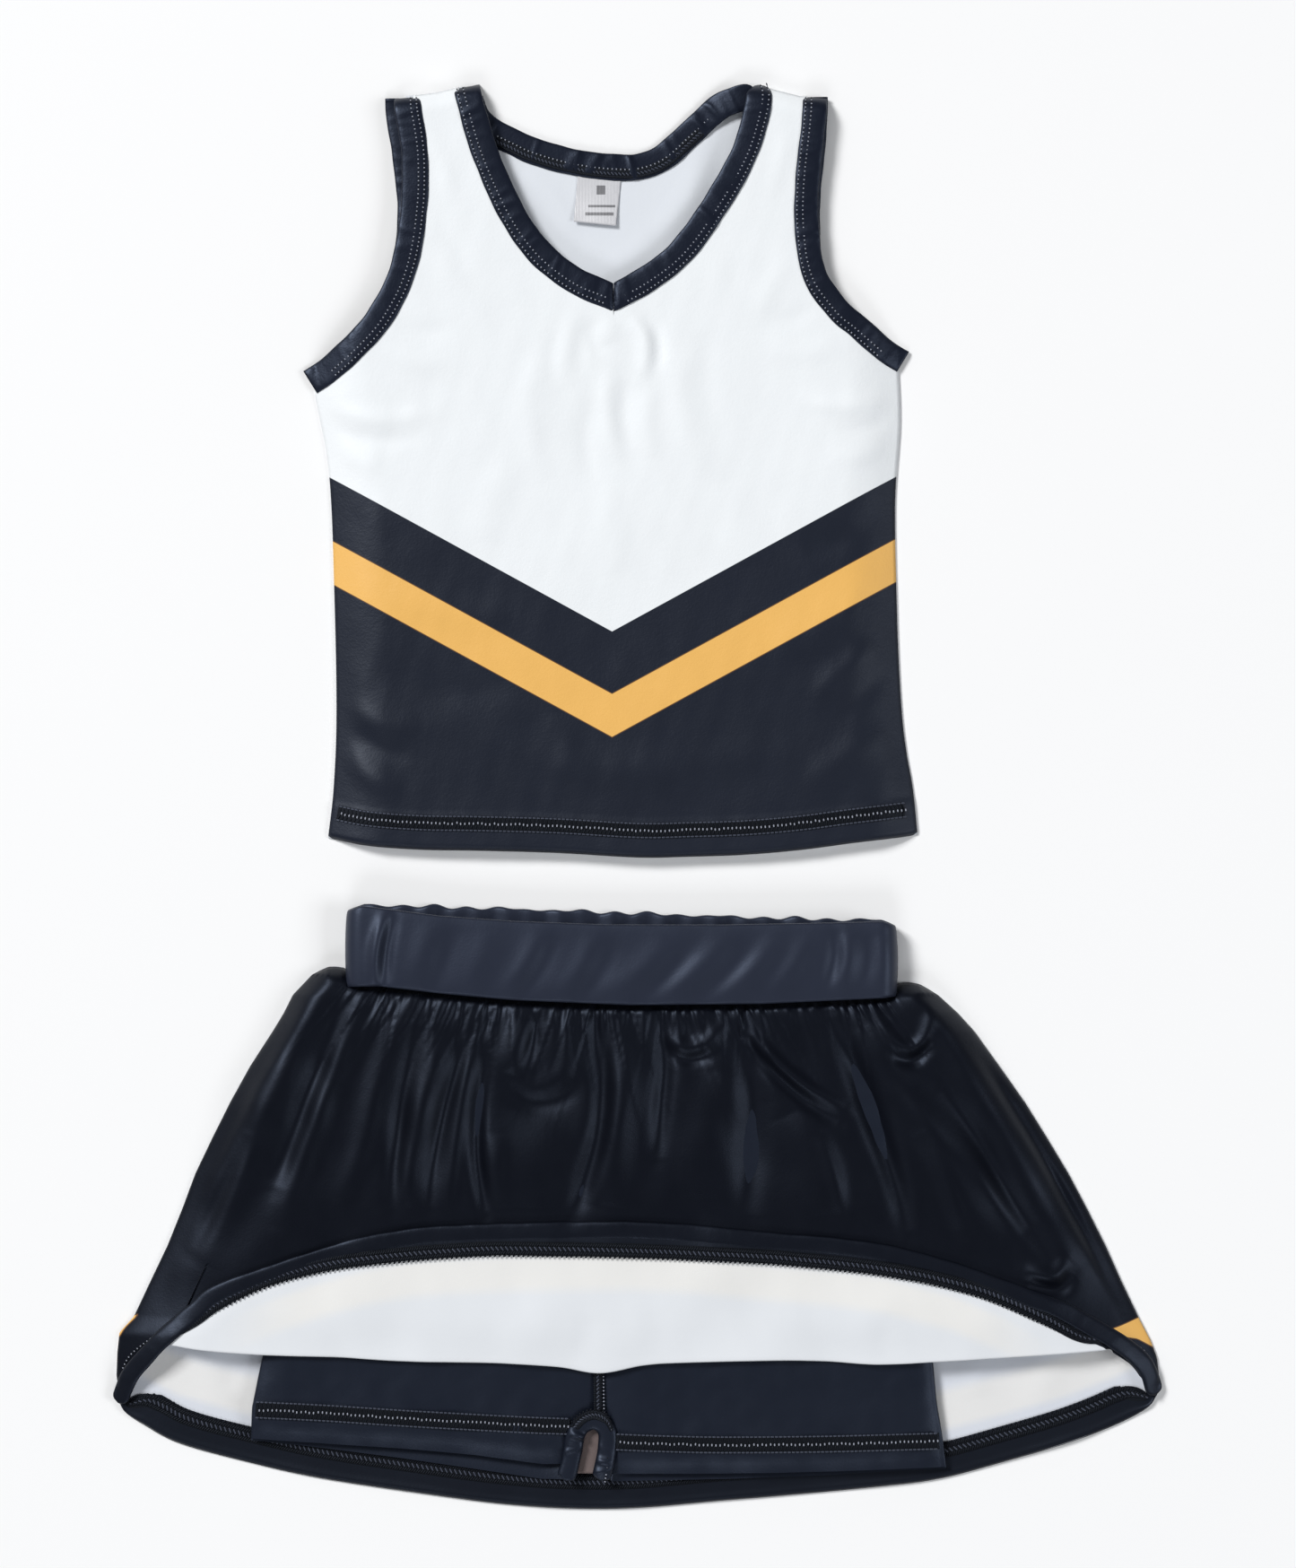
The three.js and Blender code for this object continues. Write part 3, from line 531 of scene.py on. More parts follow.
TOP_FOLDS = [
    # the pucker under the point of the V
    (-0.9, 3.4, [(-19.5, 229), (-22.0, 222), (-20.0, 215), (-14.5, 213)]),
    (0.8, 4.6, [(-12, 229), (-13.5, 223), (-11, 217)]),
    (1.6, 3.6, [(-5, 229), (-0.5, 225), (3.2, 219), (4.2, 210), (2.0, 199)]),
    (-1.2, 3.4, [(1.5, 231), (8.0, 224), (10.0, 213), (8.0, 203)]),
    (0.6, 4.6, [(-30, 232), (-33.5, 220), (-35, 207), (-34, 194)]),
    (-0.5, 3.6, [(-25, 230), (-27.5, 216), (-27, 200)]),
    (-0.4, 4.0, [(-39, 224), (-41, 210), (-40, 195)]),
    (1.1, 4.5, [(-12, 205), (-15, 190), (-13, 172), (-8, 158)]),
    (-0.9, 4.0, [(-5, 200), (-7, 182), (-3, 165)]),
    (0.9, 5.0, [(6, 196), (4, 178), (8, 160)]),
    (-0.8, 4.5, [(-22, 190), (-25, 172), (-22, 150)]),
    (0.9, 6.0, [(-46, 214), (-52, 190), (-50, 165), (-44, 148)]),
    (0.8, 6.5, [(22, 215), (19, 195), (24, 172), (30, 150)]),
    (-0.7, 6.0, [(34, 224), (33, 200), (38, 178)]),
    (0.9, 8.0, [(-10, 150), (-14, 128), (-10, 104)]),
    (0.8, 8.0, [(40, 150), (48, 128), (50, 108)]),
    (0.8, 8.0, [(-62, 160), (-70, 140), (-72, 120)]),
    # pulls from the left armhole
    (1.0, 4.6, [(-150, 188), (-136, 182), (-118, 180), (-98, 183)]),
    (-0.7, 4.0, [(-151, 181), (-138, 173), (-120, 170), (-104, 172)]),
    (0.8, 5.2, [(-150, 173), (-138, 162), (-122, 157)]),
    (0.7, 5.8, [(-124, 214), (-108, 208), (-90, 206)]),
    (-0.5, 4.6, [(-117, 226), (-103, 222), (-88, 224)]),
    (0.5, 5.2, [(-104, 262), (-92, 252), (-80, 236), (-70, 218)]),
    (-0.5, 4.6, [(-101, 282), (-90, 268), (-80, 250)]),
    (0.5, 4.0, [(-99, 318), (-93, 300), (-88, 282)]),
    # and from the right one
    (1.0, 4.6, [(122, 192), (108, 187), (90, 187), (74, 191)]),
    (-0.7, 4.0, [(123, 183), (110, 176), (94, 175)]),
    (0.7, 5.2, [(122, 172), (108, 163), (92, 162)]),
    (0.7, 5.8, [(97, 218), (82, 212), (62, 214)]),
    (-0.5, 4.6, [(87, 236), (74, 228), (60, 228)]),
    (0.5, 5.2, [(76, 262), (66, 246), (56, 228)]),
    (0.5, 4.0, [(72, 318), (67, 300), (62, 284)]),
    # soft waves in the printed lower part
    (1.1, 9.0, [(-120, 100), (-90, 88), (-60, 84)]),
    (-0.9, 9.0, [(-130, 60), (-95, 50), (-60, 52)]),
    (1.1, 10.0, [(110, 96), (84, 78), (60, 72)]),
    (-1.1, 7.0, [(112, 130), (96, 122), (78, 120)]),
    (0.9, 10.0, [(-60, 20), (-20, 12), (20, 14), (70, 22)]),
    (1.4, 6.0, [(-142, 22), (-130, 10), (-112, 2)]),
    (1.2, 6.0, [(-140, 44), (-122, 34), (-104, 32)]),
    (-0.9, 5.0, [(-138, 32), (-124, 22), (-108, 18)]),
    (1.3, 6.0, [(116, 74), (98, 60), (84, 44)]),
    (-0.9, 5.0, [(122, 62), (108, 48), (96, 34)]),
    (1.1, 7.0, [(122, 30), (100, 20), (80, 4)]),
    (0.9, 7.0, [(-40, 40), (-34, 24), (-36, 6)]),
]


def top_front(x, y):
    """Height of the top's front, outside."""
    across = np.minimum(x - top_left(y), top_right(y) - x)
    roll = np.sin(np.pi / 2 * np.clip(across / TOP_ROLL, 0, 1))
    over = np.sqrt(np.clip(1 - np.clip((y - SHOULDER(x) + 9) / 9.5, 0, 1) ** 2, 0.02, 1))
    z = TOP_EDGE + (TOP_CROWN - TOP_EDGE) * roll * over
    calm = smooth(0, 14, across) * smooth(0, 8, SHOULDER(x) - y)
    z = z + calm * (folds(x, y, TOP_FOLDS) + 0.25 * wobble(x, y, 60, 3) + 0.08 * wobble(x, y, 14, 4))
    return z


def top_back(x, y):
    """Height of the inside of the top's back."""
    over = 1 - np.sqrt(np.clip(1 - np.clip((y - SHOULDER(x) + 7) / 7.5, 0, 1) ** 2, 0.02, 1))
    rows = [(0.9, 5, [(-58, 300), (-40, 286), (-30, 268)]), (0.9, 6, [(30, 308), (26, 288), (8, 266)]),
            (-0.5, 5, [(40, 318), (38, 296), (24, 272)]), (0.6, 7, [(-30, 262), (-12, 256), (10, 262)])]
    return 1.1 + 2.5 * over + folds(x, y, rows) + 0.18 * wobble(x, y, 45, 5)


TOP_WIDTH, TOP_LENGTH, TOP_FOOT, TOP_RISE = 284, 376, -27, 367.0


def panel_grid(height, step=1.7):
    """Points over the top's whole outline, in rows from the hem up."""
    columns, rows = int(TOP_WIDTH / step), int(TOP_LENGTH / step)
    u = np.linspace(0, 1, columns)
    v = np.linspace(0, 1, rows)
    grid = np.zeros((rows, columns, 3))
    for i, t in enumerate(v):
        guess = TOP_FOOT + t * TOP_RISE
        for _ in range(2):
            x = top_left(guess) + u * (top_right(guess) - top_left(guess))
            guess = top_hem(x) + t * (SHOULDER(x) - top_hem(x))
        grid[i, :, 0], grid[i, :, 1] = x, guess
    grid[..., 2] = height(grid[..., 0], grid[..., 1])
    return grid


def neck_line(reach):
    left = shifted(curve(NECK_LEFT, 60), -reach)
    right = shifted(curve(NECK_RIGHT, 60), reach)
    return np.vstack([left[:-4], [(-11.8, 238.6 - 1.3 * reach)], right[::-1][4:]])


def cut_outline(neck, arm_left, arm_right, reach):
    left = shifted(curve(arm_left, 60), reach)
    right = shifted(curve(arm_right, 60), -reach)
    return np.vstack([
        [(-170, -60)], [(150, -60)], [(150, right[-1, 1])], right[::-1], [(right[0, 0], 345)],
        [(neck[-1, 0], 350)], neck[::-1], [(neck[0, 0], 350)], [(left[0, 0], 345)], left,
        [(-170, left[-1, 1])]])


def below_shoulder(grid):
    return grid[..., 1] < SHOULDER(grid[..., 0]) + 0.4


# How far past the middle of its binding a panel goes.
EDGE_IN = 2.5
front_grid = panel_grid(top_front)
gx, gy = front_grid[..., 0], front_grid[..., 1]
keep = inside(gx, gy, cut_outline(neck_line(EDGE_IN), ARM_LEFT, ARM_RIGHT, EDGE_IN)) & below_shoulder(front_grid)
# The hem is a fold: its last few millimetres round down.
drop = np.clip(1 - (gy - top_hem(gx)) / 1.6, 0, 1)
front_grid[..., 2] -= 1.3 * (1 - np.sqrt(1 - drop ** 2 * 0.98))
# The hem allowance makes the cloth thicker up to the coverstitch.
front_grid[..., 2] += 0.45 * smooth(18.5, 16.5, gy - top_hem(gx)) * smooth(0, 2, gy - top_hem(gx))
front = shell("top_front", front_grid, CLOTH, PRINTED, INSIDE, keep)

back_line = shifted(curve(NECK_BACK, 70), -EDGE_IN)
back_grid = panel_grid(top_back, 2.2)
bx, by = back_grid[..., 0], back_grid[..., 1]
keep = inside(bx, by, cut_outline(back_line, ARM_LEFT_BACK, ARM_RIGHT_BACK, EDGE_IN)) & below_shoulder(back_grid)
edge_in = np.minimum(bx - top_left(by), top_right(by) - bx)
back_grid[..., 2] = np.where(edge_in < 3, np.minimum(back_grid[..., 2], 0.85), back_grid[..., 2])
back = shell("top_back", back_grid, CLOTH, INSIDE, PRINTED, keep)


def band(name, points, half, height, thickness, material, lift=0.25, puckers=0.22, seed=1, ease=None, wall=None,
         round_ends=(0.0, 0.0), droop=0.0):
    """A folded strip of cloth along a curve. It is rounded at both edges and lies on height(x, y)."""
    length = arc_length(np.asarray(points, float))[-1]
    centre = curve(points, int(length / 1.1))
    side = sideways(centre)
    s = arc_length(centre)
    angle = np.linspace(0, 2 * np.pi, 28, endpoint=False)
    across = np.sign(np.cos(angle)) * np.abs(np.cos(angle)) ** 0.55
    up = np.sign(np.sin(angle)) * np.abs(np.sin(angle)) ** 0.8
    rings = np.zeros((len(centre), len(angle), 3))
    width = half * (1 + 0.015 * np.sin(s / 5.1 + seed) + 0.012 * np.sin(s / 2.3 + 2 * seed))
    for reach, from_end in zip(round_ends, (s, s[-1] - s)):
        if reach:
            width = width * np.sqrt(np.clip(1 - (1 - np.clip(from_end / reach, 0, 1)) ** 2, 0.03, 1))
    rings[..., :2] = centre[:, None] + side[:, None] * (across[None] * width[:, None])[..., None]
    x, y = rings[..., 0], rings[..., 1]
    rng = np.random.default_rng(seed)
    ripple = np.zeros_like(x)
    for _ in range(int(length / 5)):
        at, skew, size = rng.uniform(0, s[-1]), rng.uniform(-3, 3), rng.uniform(0.5, 1.4)
        ripple += size * np.exp(-((s[:, None] - at - skew * across[None]) / rng.uniform(0.8, 2.0)) ** 2)
    base = height(x, y)
    rings[..., 2] = base + lift + np.where(up > 0, 1, 0.75) * up[None] * thickness / 2
    rings[..., 2] += np.where(up[None] > 0, puckers * ripple * (1 - 0.5 * np.abs(across[None])), 0)
    if ease is not None:
        rings[..., 2] += ease(x, y)
    if droop:
        rings[..., 2] -= droop * (1 - np.sqrt(1 - np.clip(1 - s / 7, 0, 1) ** 2 * 0.96))[:, None]
    if wall is not None:
        at, facing = wall
        beyond = (rings[..., 0] - at) * facing
        rings[..., 2] -= 1.1 * np.exp(-(np.maximum(-beyond, 0) / 1.0) ** 2)
        rings[..., 0] = np.where(beyond > 0, at, rings[..., 0])
    return tube(name, rings, material)


def surface_of(height, lift, thickness):
    """Where the upper side of a band is."""
    return lambda x, y: height(x, y) + lift + thickness / 2


BAND, BAND_THICK = 6.4, 2.3


def neck_height(x, y):
    return top_front(x, y) - 0.1


def back_height(x, y):
    return top_back(x, y) + 0.1


V_POINT = -11.8
neck_left = band("neck_binding_left", NECK_LEFT + [(-2.0, 234.6)], BAND, neck_height, BAND_THICK, BINDING, seed=3,
                 wall=(V_POINT - 0.1, 1), droop=3.0)
neck_right = band("neck_binding_right", NECK_RIGHT + [(-21.6, 234.6)], BAND, neck_height, BAND_THICK, BINDING,
                  lift=0.4, seed=4, wall=(V_POINT + 0.1, -1), round_ends=(6.4, 0), droop=1.5)
neck_back = band("neck_binding_back", NECK_BACK, BAND, back_height, BAND_THICK, BINDING, puckers=0.4, seed=5,
                 round_ends=(0, 6), ease=lambda x, y: 3.0 * smooth(30, 50, x) + 2.0 * smooth(-66, -78, x))
arm_left = band("armhole_binding_left_front", ARM_LEFT, BAND, neck_height, BAND_THICK, BINDING, seed=6,
                droop=2.5)
arm_left_back = band("armhole_binding_left_back", ARM_LEFT_BACK, BAND, back_height, BAND_THICK, BINDING,
                     lift=-0.2, puckers=0.25, seed=7)
arm_right = band("armhole_binding_right_front", ARM_RIGHT, 5.8, neck_height, BAND_THICK, BINDING, seed=8, droop=2.5)
arm_right_back = band("armhole_binding_right_back", ARM_RIGHT_BACK, 5.8, back_height, BAND_THICK, BINDING,
                      lift=-0.2, puckers=0.25, seed=9)


# ---- Stitches ----------------------------------------------------------------

def at_level(z):
    return lambda x, y: np.full(np.shape(x), z)


def on(height, xy, lift):
    """Points on a surface, raised by lift."""
    xy = np.asarray(xy, float)
    return np.column_stack([xy, height(xy[:, 0], xy[:, 1]) + lift])


def along(points, pitch, margin=1.0):
    """Points on a curve every so far, and the unit vectors along it and to its left."""
    p = curve(points, 400)
    s = arc_length(p)
    want = np.arange(margin, s[-1] - margin, pitch)
    at = np.stack([np.interp(want, s, p[:, k]) for k in range(2)], 1)
    t = np.gradient(p, axis=0)
    t /= np.linalg.norm(t, axis=1)[:, None]
    t = np.stack([np.interp(want, s, t[:, k]) for k in range(2)], 1)
    t /= np.linalg.norm(t, axis=1)[:, None]
    return at, t, np.stack([-t[:, 1], t[:, 0]], 1)


def bed(name, points, half, height, lift, ends=0.0):
    """The flat mat of thread that a row of stitches makes."""
    return band(name, points, half, height, 0.5, THREAD, lift=lift, puckers=0.05, seed=len(points),
                round_ends=(ends, ends))


class Threads:
    """Collects short bars of thread for one mesh."""

    def __init__(self):
        self.a, self.b, self.r, self.m = [], [], [], []

    def lay(self, height, a, b, lift, radius, slot=0, rise=0.0):
        """Bars from a to b on a surface. They end rise higher than they start."""
        self.a.append(on(height, a, lift))
        self.b.append(on(height, b, lift + rise))
        self.r.append(np.full(len(a), radius))
        self.m.append(np.full(len(a), slot))

    def piece(self, name):
        return bars(name, np.vstack(self.a), np.vstack(self.b), np.concatenate(self.r),
                    [THREAD, DOTS, GLINT], np.concatenate(self.m))


def twin_needle(threads, points, height, lift, offsets, pitch=2.05):
    """Two rows of small stitches, with a glint of light at each needle hole."""
    for offset in offsets:
        at, t, n = along(points, pitch)
        centre = at + n * offset
        threads.lay(height, centre - t * 0.72, centre + t * 0.72, lift, 0.3)
        hole = centre + t * pitch / 2
        threads.lay(height, hole - n * 0.36, hole + n * 0.36, lift + 0.24, 0.33, 1)


def coverstitch(threads, points, height, lift, width=6.6, pitch=2.0, dots=True):
    """Rungs of thread between two rows of loops, with needle holes down the middle."""
    at, t, n = along(points, pitch)
    half = width / 2
    jitter = np.random.default_rng(len(at)).uniform(-0.15, 0.15, (len(at), 1))
    for lean, low, high in ((0.45, -half, -0.35), (-0.45, 0.35, half)):
        a, b = at + n * low + t * (jitter - lean), at + n * high + t * (jitter + lean)
        threads.lay(height, a, b, lift, 0.42, rise=0.05)
    for edge in (-half, half):
        a, b = at + n * edge - t * 0.85, at + n * edge + t * 0.85
        threads.lay(height, a, b, lift + 0.1, 0.46, 2, rise=-0.1)
    a, b = at - t * 0.7 + t * pitch / 2, at + t * 0.7 + t * pitch / 2
    threads.lay(height, a, b, lift + 0.12, 0.34)
    if dots:
        c = at + n * jitter * 2 + t * (pitch * 0.5 + jitter)
        threads.lay(height, c - n * 0.6, c + n * 0.6, lift + 0.45, 0.35, 1)


def overlock(threads, points, height, lift, width=8.0, pitch=2.3, taper=0.0):
    """A braid of loops along a cut edge, with small teeth over the edge on its left."""
    at, t, n = along(points, pitch)
    if taper:
        s = arc_length(at)
        n = n * (0.3 + 0.7 * smooth(0, taper, np.minimum(s, s[-1] - s)))[:, None]
    rows = [(-width / 2, -width / 6, 0.8), (-width / 6, width / 6, -0.8), (width / 6, width / 2, 0.8)]
    for k, (low, high, lean) in enumerate(rows):
        a, b = at + n * low - t * lean, at + n * high + t * lean
        threads.lay(height, a, b, lift, 0.5, rise=0.1)
        shift = t * pitch / 2
        threads.lay(height, a + shift, b + shift, lift, 0.44, 2 * (k == 1), rise=0.1)
    a, b = at + n * width / 2 - t * 0.5, at + n * (width / 2 + 0.9) + t * 0.5
    threads.lay(height, a, b, lift, 0.46, rise=-0.1)


BAND_TOP = surface_of(neck_height, 0.25, BAND_THICK)
BACK_TOP = surface_of(back_height, 0.25, BAND_THICK)

neck_threads = Threads()
for points, sign in ((NECK_LEFT[:-1] + [(-15.0, 240.1)], -1), (NECK_RIGHT[:-1] + [(-8.6, 240.1)], 1)):
    twin_needle(neck_threads, points, BAND_TOP, -0.12, (sign * 1.7, sign * 4.7))
twin_needle(neck_threads, NECK_BACK[2:-1], BACK_TOP, -0.05, (-1.0,))
overlock(neck_threads, shifted(curve(NECK_BACK[1:], 50), -3.2), BACK_TOP, -0.15, width=4.2, pitch=1.8)
neck_stitches = neck_threads.piece("neck_topstitch")
arm_stitches = []
for name, points, sign in (("left", ARM_LEFT, 1), ("right", ARM_RIGHT, -1)):
    threads = Threads()
    twin_needle(threads, points[:-1], BAND_TOP, -0.12, (sign * 1.6, sign * 4.4))
    arm_stitches.append(threads.piece("armhole_topstitch_" + name))

hem_line = np.column_stack([TOP_HEM[:, 0], TOP_HEM[:, 1] + 13.0])
top_hem_threads = Threads()
coverstitch(top_hem_threads, hem_line[2:-2], top_front, 0.9)
top_hem_stitches = top_hem_threads.piece("top_front_hem_stitches")
top_hem_bed = bed("top_front_hem_thread_bed", hem_line[2:-2:6], 3.8, top_front, 0.5)
back_hem_threads = Threads()
coverstitch(back_hem_threads, hem_line[3:-3], top_back, 0.35, dots=False)
back_hem_stitches = back_hem_threads.piece("top_back_hem_stitches")

# ---- Label -------------------------------------------------------------------

LABEL_OUTLINE = [(-28.9, 300.0), (-7.9, 299.0), (-10.6, 273.6), (-31.0, 275.6)]
corners = np.array(LABEL_OUTLINE, float)
u, v = np.meshgrid(np.linspace(0, 1, 30), np.linspace(0, 1, 30))
flat_label = ((1 - u)[..., None] * (1 - v)[..., None] * corners[0] + u[..., None] * (1 - v)[..., None] * corners[1]
              + u[..., None] * v[..., None] * corners[2] + (1 - u)[..., None] * v[..., None] * corners[3])
# It lifts off the back towards its free end.
free = np.clip((v - 0.28) / 0.72, 0, 1)
label_z = top_back(flat_label[..., 0], flat_label[..., 1]) + 0.55 + 1.6 * free ** 2 + 0.35 * np.sin(3 * u) * v
size_label = shell("size_label_ribbon", np.dstack([flat_label, label_z]), 0.25, label_material(), DOTS)

# ---- The waistband -----------------------------------------------------------

BAND_LEFT, BAND_RIGHT = -139.6, 123.6
front_upper = table([(-139.6, -55.5), (-132, -52.8), (-123.6, -53.8), (-95, -57.5), (-60, -60), (-14.8, -61.7),
                     (40, -61.8), (94, -60.8), (117, -60.2), (123.6, -62.5)])
back_upper = table([(-139.6, -55.5), (-132, -52.6), (-122, -52.8), (-95, -53.5), (-65.6, -54.4), (-4, -56.5),
                    (40, -58.2), (94, -59.6), (117, -60.0), (123.6, -62.5)])
front_lower = table([(-139.6, -91.5), (-123.6, -91.2), (-95, -94.6), (-60, -97.8), (-4.1, -100.2), (60, -99.6),
                     (117.2, -96.9), (123.6, -95.5)])

# Creases of the waistband: height, width, and line. The whole set is drawn lower and wider by these shares.
CREASE_HEIGHT, CREASE_WIDTH = 0.85, 1.3
WAIST_FOLDS = [
    (2.0, 2.6, [(-126, -92), (-125, -74), (-121, -56)]),
    (-1.7, 2.2, [(-121, -92), (-120, -74), (-116, -56)]),
    (0.8, 5.0, [(-108, -94), (-103, -76), (-98, -60)]),
    (-0.6, 4.0, [(-98, -95), (-92, -78), (-86, -62)]),
    (0.7, 5.0, [(-84, -97), (-76, -80), (-70, -63)]),
    (0.9, 4.5, [(-66, -98), (-54, -82), (-46, -64)]),
    (-0.7, 3.5, [(-58, -98), (-46, -82), (-38, -66)]),
    (0.8, 4.5, [(-40, -98), (-28, -84), (-20, -66)]),
    (-0.6, 4.0, [(-30, -99), (-18, -84), (-10, -68)]),
    (0.9, 5.5, [(-16, -99), (2, -84), (16, -68)]),
    (-0.7, 4.0, [(-4, -100), (14, -86), (28, -70)]),
    (1.0, 5.0, [(10, -99), (28, -84), (44, -67)]),
    (-0.7, 4.0, [(24, -99), (42, -86), (56, -70)]),
    (0.9, 4.5, [(38, -98), (54, -84), (68, -66)]),
    (0.8, 4.0, [(62, -97), (74, -82), (82, -66)]),
    (-1.1, 2.8, [(90, -92), (94, -78), (94, -64)]),
    (1.0, 3.4, [(97, -94), (100, -78), (99, -64)]),
    (-0.6, 3.0, [(107, -92), (110, -78), (109, -66)]),
    (0.7, 3.2, [(116, -94), (117, -80), (116, -66)]),
]
WAIST_FOLDS = [(CREASE_HEIGHT * height, CREASE_WIDTH * width, line) for height, width, line in WAIST_FOLDS]


def waistband(name, outer, inner, low_inset, material, back_ruffle=True):
    """A ring of cloth folded over at the top, between two depths from the middle of its wall."""
    mid_depth, centre_z = 12.4, 7.9
    r = mid_depth / 2
    straight = BAND_RIGHT - BAND_LEFT - 2 * (r + 1.6)
    xs_front = np.linspace(-straight / 2, straight / 2, 190)
    bend = np.linspace(np.pi / 2, -np.pi / 2, 20)[1:-1]
    loop = [(x, r, 0.0, 1.0) for x in xs_front]
    loop += [(straight / 2 + r * np.cos(a), r * np.sin(a), np.cos(a), np.sin(a)) for a in bend]
    loop += [(x, -r, 0.0, -1.0) for x in xs_front[::-1]]
    loop += [(-straight / 2 - r * np.cos(a), -r * np.sin(a), -np.cos(a), -np.sin(a)) for a in bend]
    loop = np.array(loop)
    middle = (BAND_LEFT + BAND_RIGHT) / 2
    x, facing = loop[:, 0] + middle, (loop[:, 3] + 1) / 2
    upper = front_upper(x) * facing + back_upper(x) * (1 - facing)
    lower = front_lower(x) - (1 - facing) * 1.0
    if back_ruffle:
        upper = upper + (1 - facing) * (0.7 * np.sin(x / 3.7) * np.sin(x / 11.0 + 1) + 0.5 * np.sin(x / 2.3))
    # Up the outside, over the fold, and down the inside.
    up = np.linspace(0, 1, 26)
    cap = np.linspace(0, np.pi, 9)[1:-1]
    half = (outer - inner) / 2
    section = [(outer, h, 0.0) for h in up]
    section += [((outer + inner) / 2 + half * np.cos(a), 1.0, half * np.sin(a)) for a in cap]
    section += [(inner, h, 0.0) for h in up[::-1]]
    section = np.array(section)
    rings = np.zeros((len(loop), len(section), 3))
    y0, y1 = (lower + low_inset)[:, None], (upper - half - 0.5 * low_inset)[:, None]
    y = y0 + section[None, :, 1] * (y1 - y0) + section[None, :, 2]
    push = folds(np.broadcast_to(x[:, None], y.shape), y, WAIST_FOLDS) * facing[:, None]
    push += (1 - facing[:, None]) * 0.5 * np.sin(x / 2.6)[:, None] * np.sin(x / 9.0)[:, None]
    puff = 0.9 * np.sin(np.pi * section[:, 1]) ** 0.6
    depth = section[None, :, 0] + push * 1.7 + puff[None] * (section[None, :, 0] > 0)
    rings[..., 0] = x[:, None] + loop[:, 2][:, None] * depth
    rings[..., 1] = y
    rings[..., 2] = centre_z + loop[:, 1][:, None] + loop[:, 3][:, None] * depth
    rings[..., 2] = np.maximum(rings[..., 2], 0.15)
    count, around, _ = rings.shape
    faces = []
    for i in range(count):
        j = (i + 1) % count
        for k in range(around):
            m = (k + 1) % around
            faces.append([i * around + k, i * around + m, j * around + m, j * around + k])
    return make(name, rings.reshape(-1, 3), faces, [material])


casing = waistband("waistband", 1.5, -1.5, 0.0, BAND_CLOTH)
elastic = waistband("waist_elastic", 0.5, -0.5, 3.0, ELASTIC, back_ruffle=False)

# ---- The skirt ---------------------------------------------------------------

LEFT_SIDE = [(-136.5, -86.5), (-141.5, -83.0), (-149.0, -82.6), (-157.0, -86.4), (-166.2, -96.1),
             (-170.5, -104.7), (-175.7, -113.3), (-186.8, -130.5), (-196.3, -147.7), (-204.9, -164.9),
             (-213.1, -182.1), (-219.5, -199.3), (-226.4, -216.5), (-234.6, -233.7), (-242.7, -250.9),
             (-249.6, -258.5), (-250.6, -268.1), (-251.0, -279.0), (-249.6, -291.0)]
RIGHT_SIDE = [(120.5, -92.0), (126.5, -90.2), (135.0, -90.8), (144.3, -96.1), (153.7, -104.7), (161.5, -113.3),
              (173.9, -130.5), (186.0, -147.7), (196.7, -164.9), (207.0, -182.1), (216.1, -199.3),
              (224.7, -216.5), (232.4, -233.7), (240.6, -250.9), (246.4, -262.0), (249.6, -270.5),
              (250.6, -279.0), (249.4, -288.0)]
left_edge, right_edge = table(LEFT_SIDE[3:], 1), table(RIGHT_SIDE[3:], 1)
WAIST_SEAM = [(-136.5, -86.5), (-123.6, -88.4), (-95, -91.6), (-60, -94.9), (-4.1, -97.2), (60, -96.6),
              (100, -94.8), (120.5, -92.0)]
FOLD_LINE = [(-224.0, -262.2), (-208, -264.6), (-190, -266.2), (-168.3, -267.2), (-142, -267.9), (-116.7, -269.6),
             (-90, -270.3), (-65, -270.8), (-39, -272.4), (-18.5, -275.4), (2, -271.8), (20, -270.5),
             (64, -269.4), (90, -269.9), (115.5, -271.4), (141, -270.2), (167, -268.6), (195, -266.8),
             (212, -265.6), (224.0, -264.8)]
HEM_ARC = [(-224.0, -262.2), (-213, -250.6), (-203, -240.8), (-190, -232.4), (-172.2, -224.6), (-151.6, -217.8),
           (-130.9, -211.8), (-110, -208.2), (-93.5, -206.6), (-65, -205.4), (-39, -204.8), (-5, -204.6),
           (30, -206.4), (63.4, -209.8), (90, -212.0), (118.9, -215.8), (149.9, -224.0), (174.6, -234.2),
           (199.3, -248.2), (214, -257.4), (224.0, -264.8)]
WHITE_EDGE = [(-224.0, -262.2), (-212, -251.4), (-201, -243.6), (-186, -236.0), (-168.3, -230.0), (-142.5, -225.2),
              (-116.7, -222.9), (-90.9, -220.9), (-65.1, -219.7), (-13.5, -220.5), (38.1, -222.3), (63.9, -223.8),
              (89.7, -226.2), (115.5, -229.0), (141.3, -233.0), (167.1, -239.4), (192.9, -249.8), (212, -259.6),
              (224.0, -264.8)]
LEFT_LIP = [(-249.6, -291.0), (-246.6, -286.0), (-240.0, -278.5), (-231.0, -269.2), (-224.0, -262.2)]
RIGHT_LIP = [(224.0, -264.8), (231.0, -269.2), (237.0, -273.6), (242.0, -280.0), (249.4, -288.0)]
RIGHT_STRIPE = [(222.6, -257.4), (232, -254.4), (242.6, -250.6), (250, -262.0), (249, -266.0), (240, -261.0),
                (232, -259.4)]
LEFT_STRIPE = [(-240.4, -249.6), (-247.0, -252.0), (-253.0, -258.0), (-252.0, -262.5), (-249.6, -260.2),
               (-247.0, -256.0)]

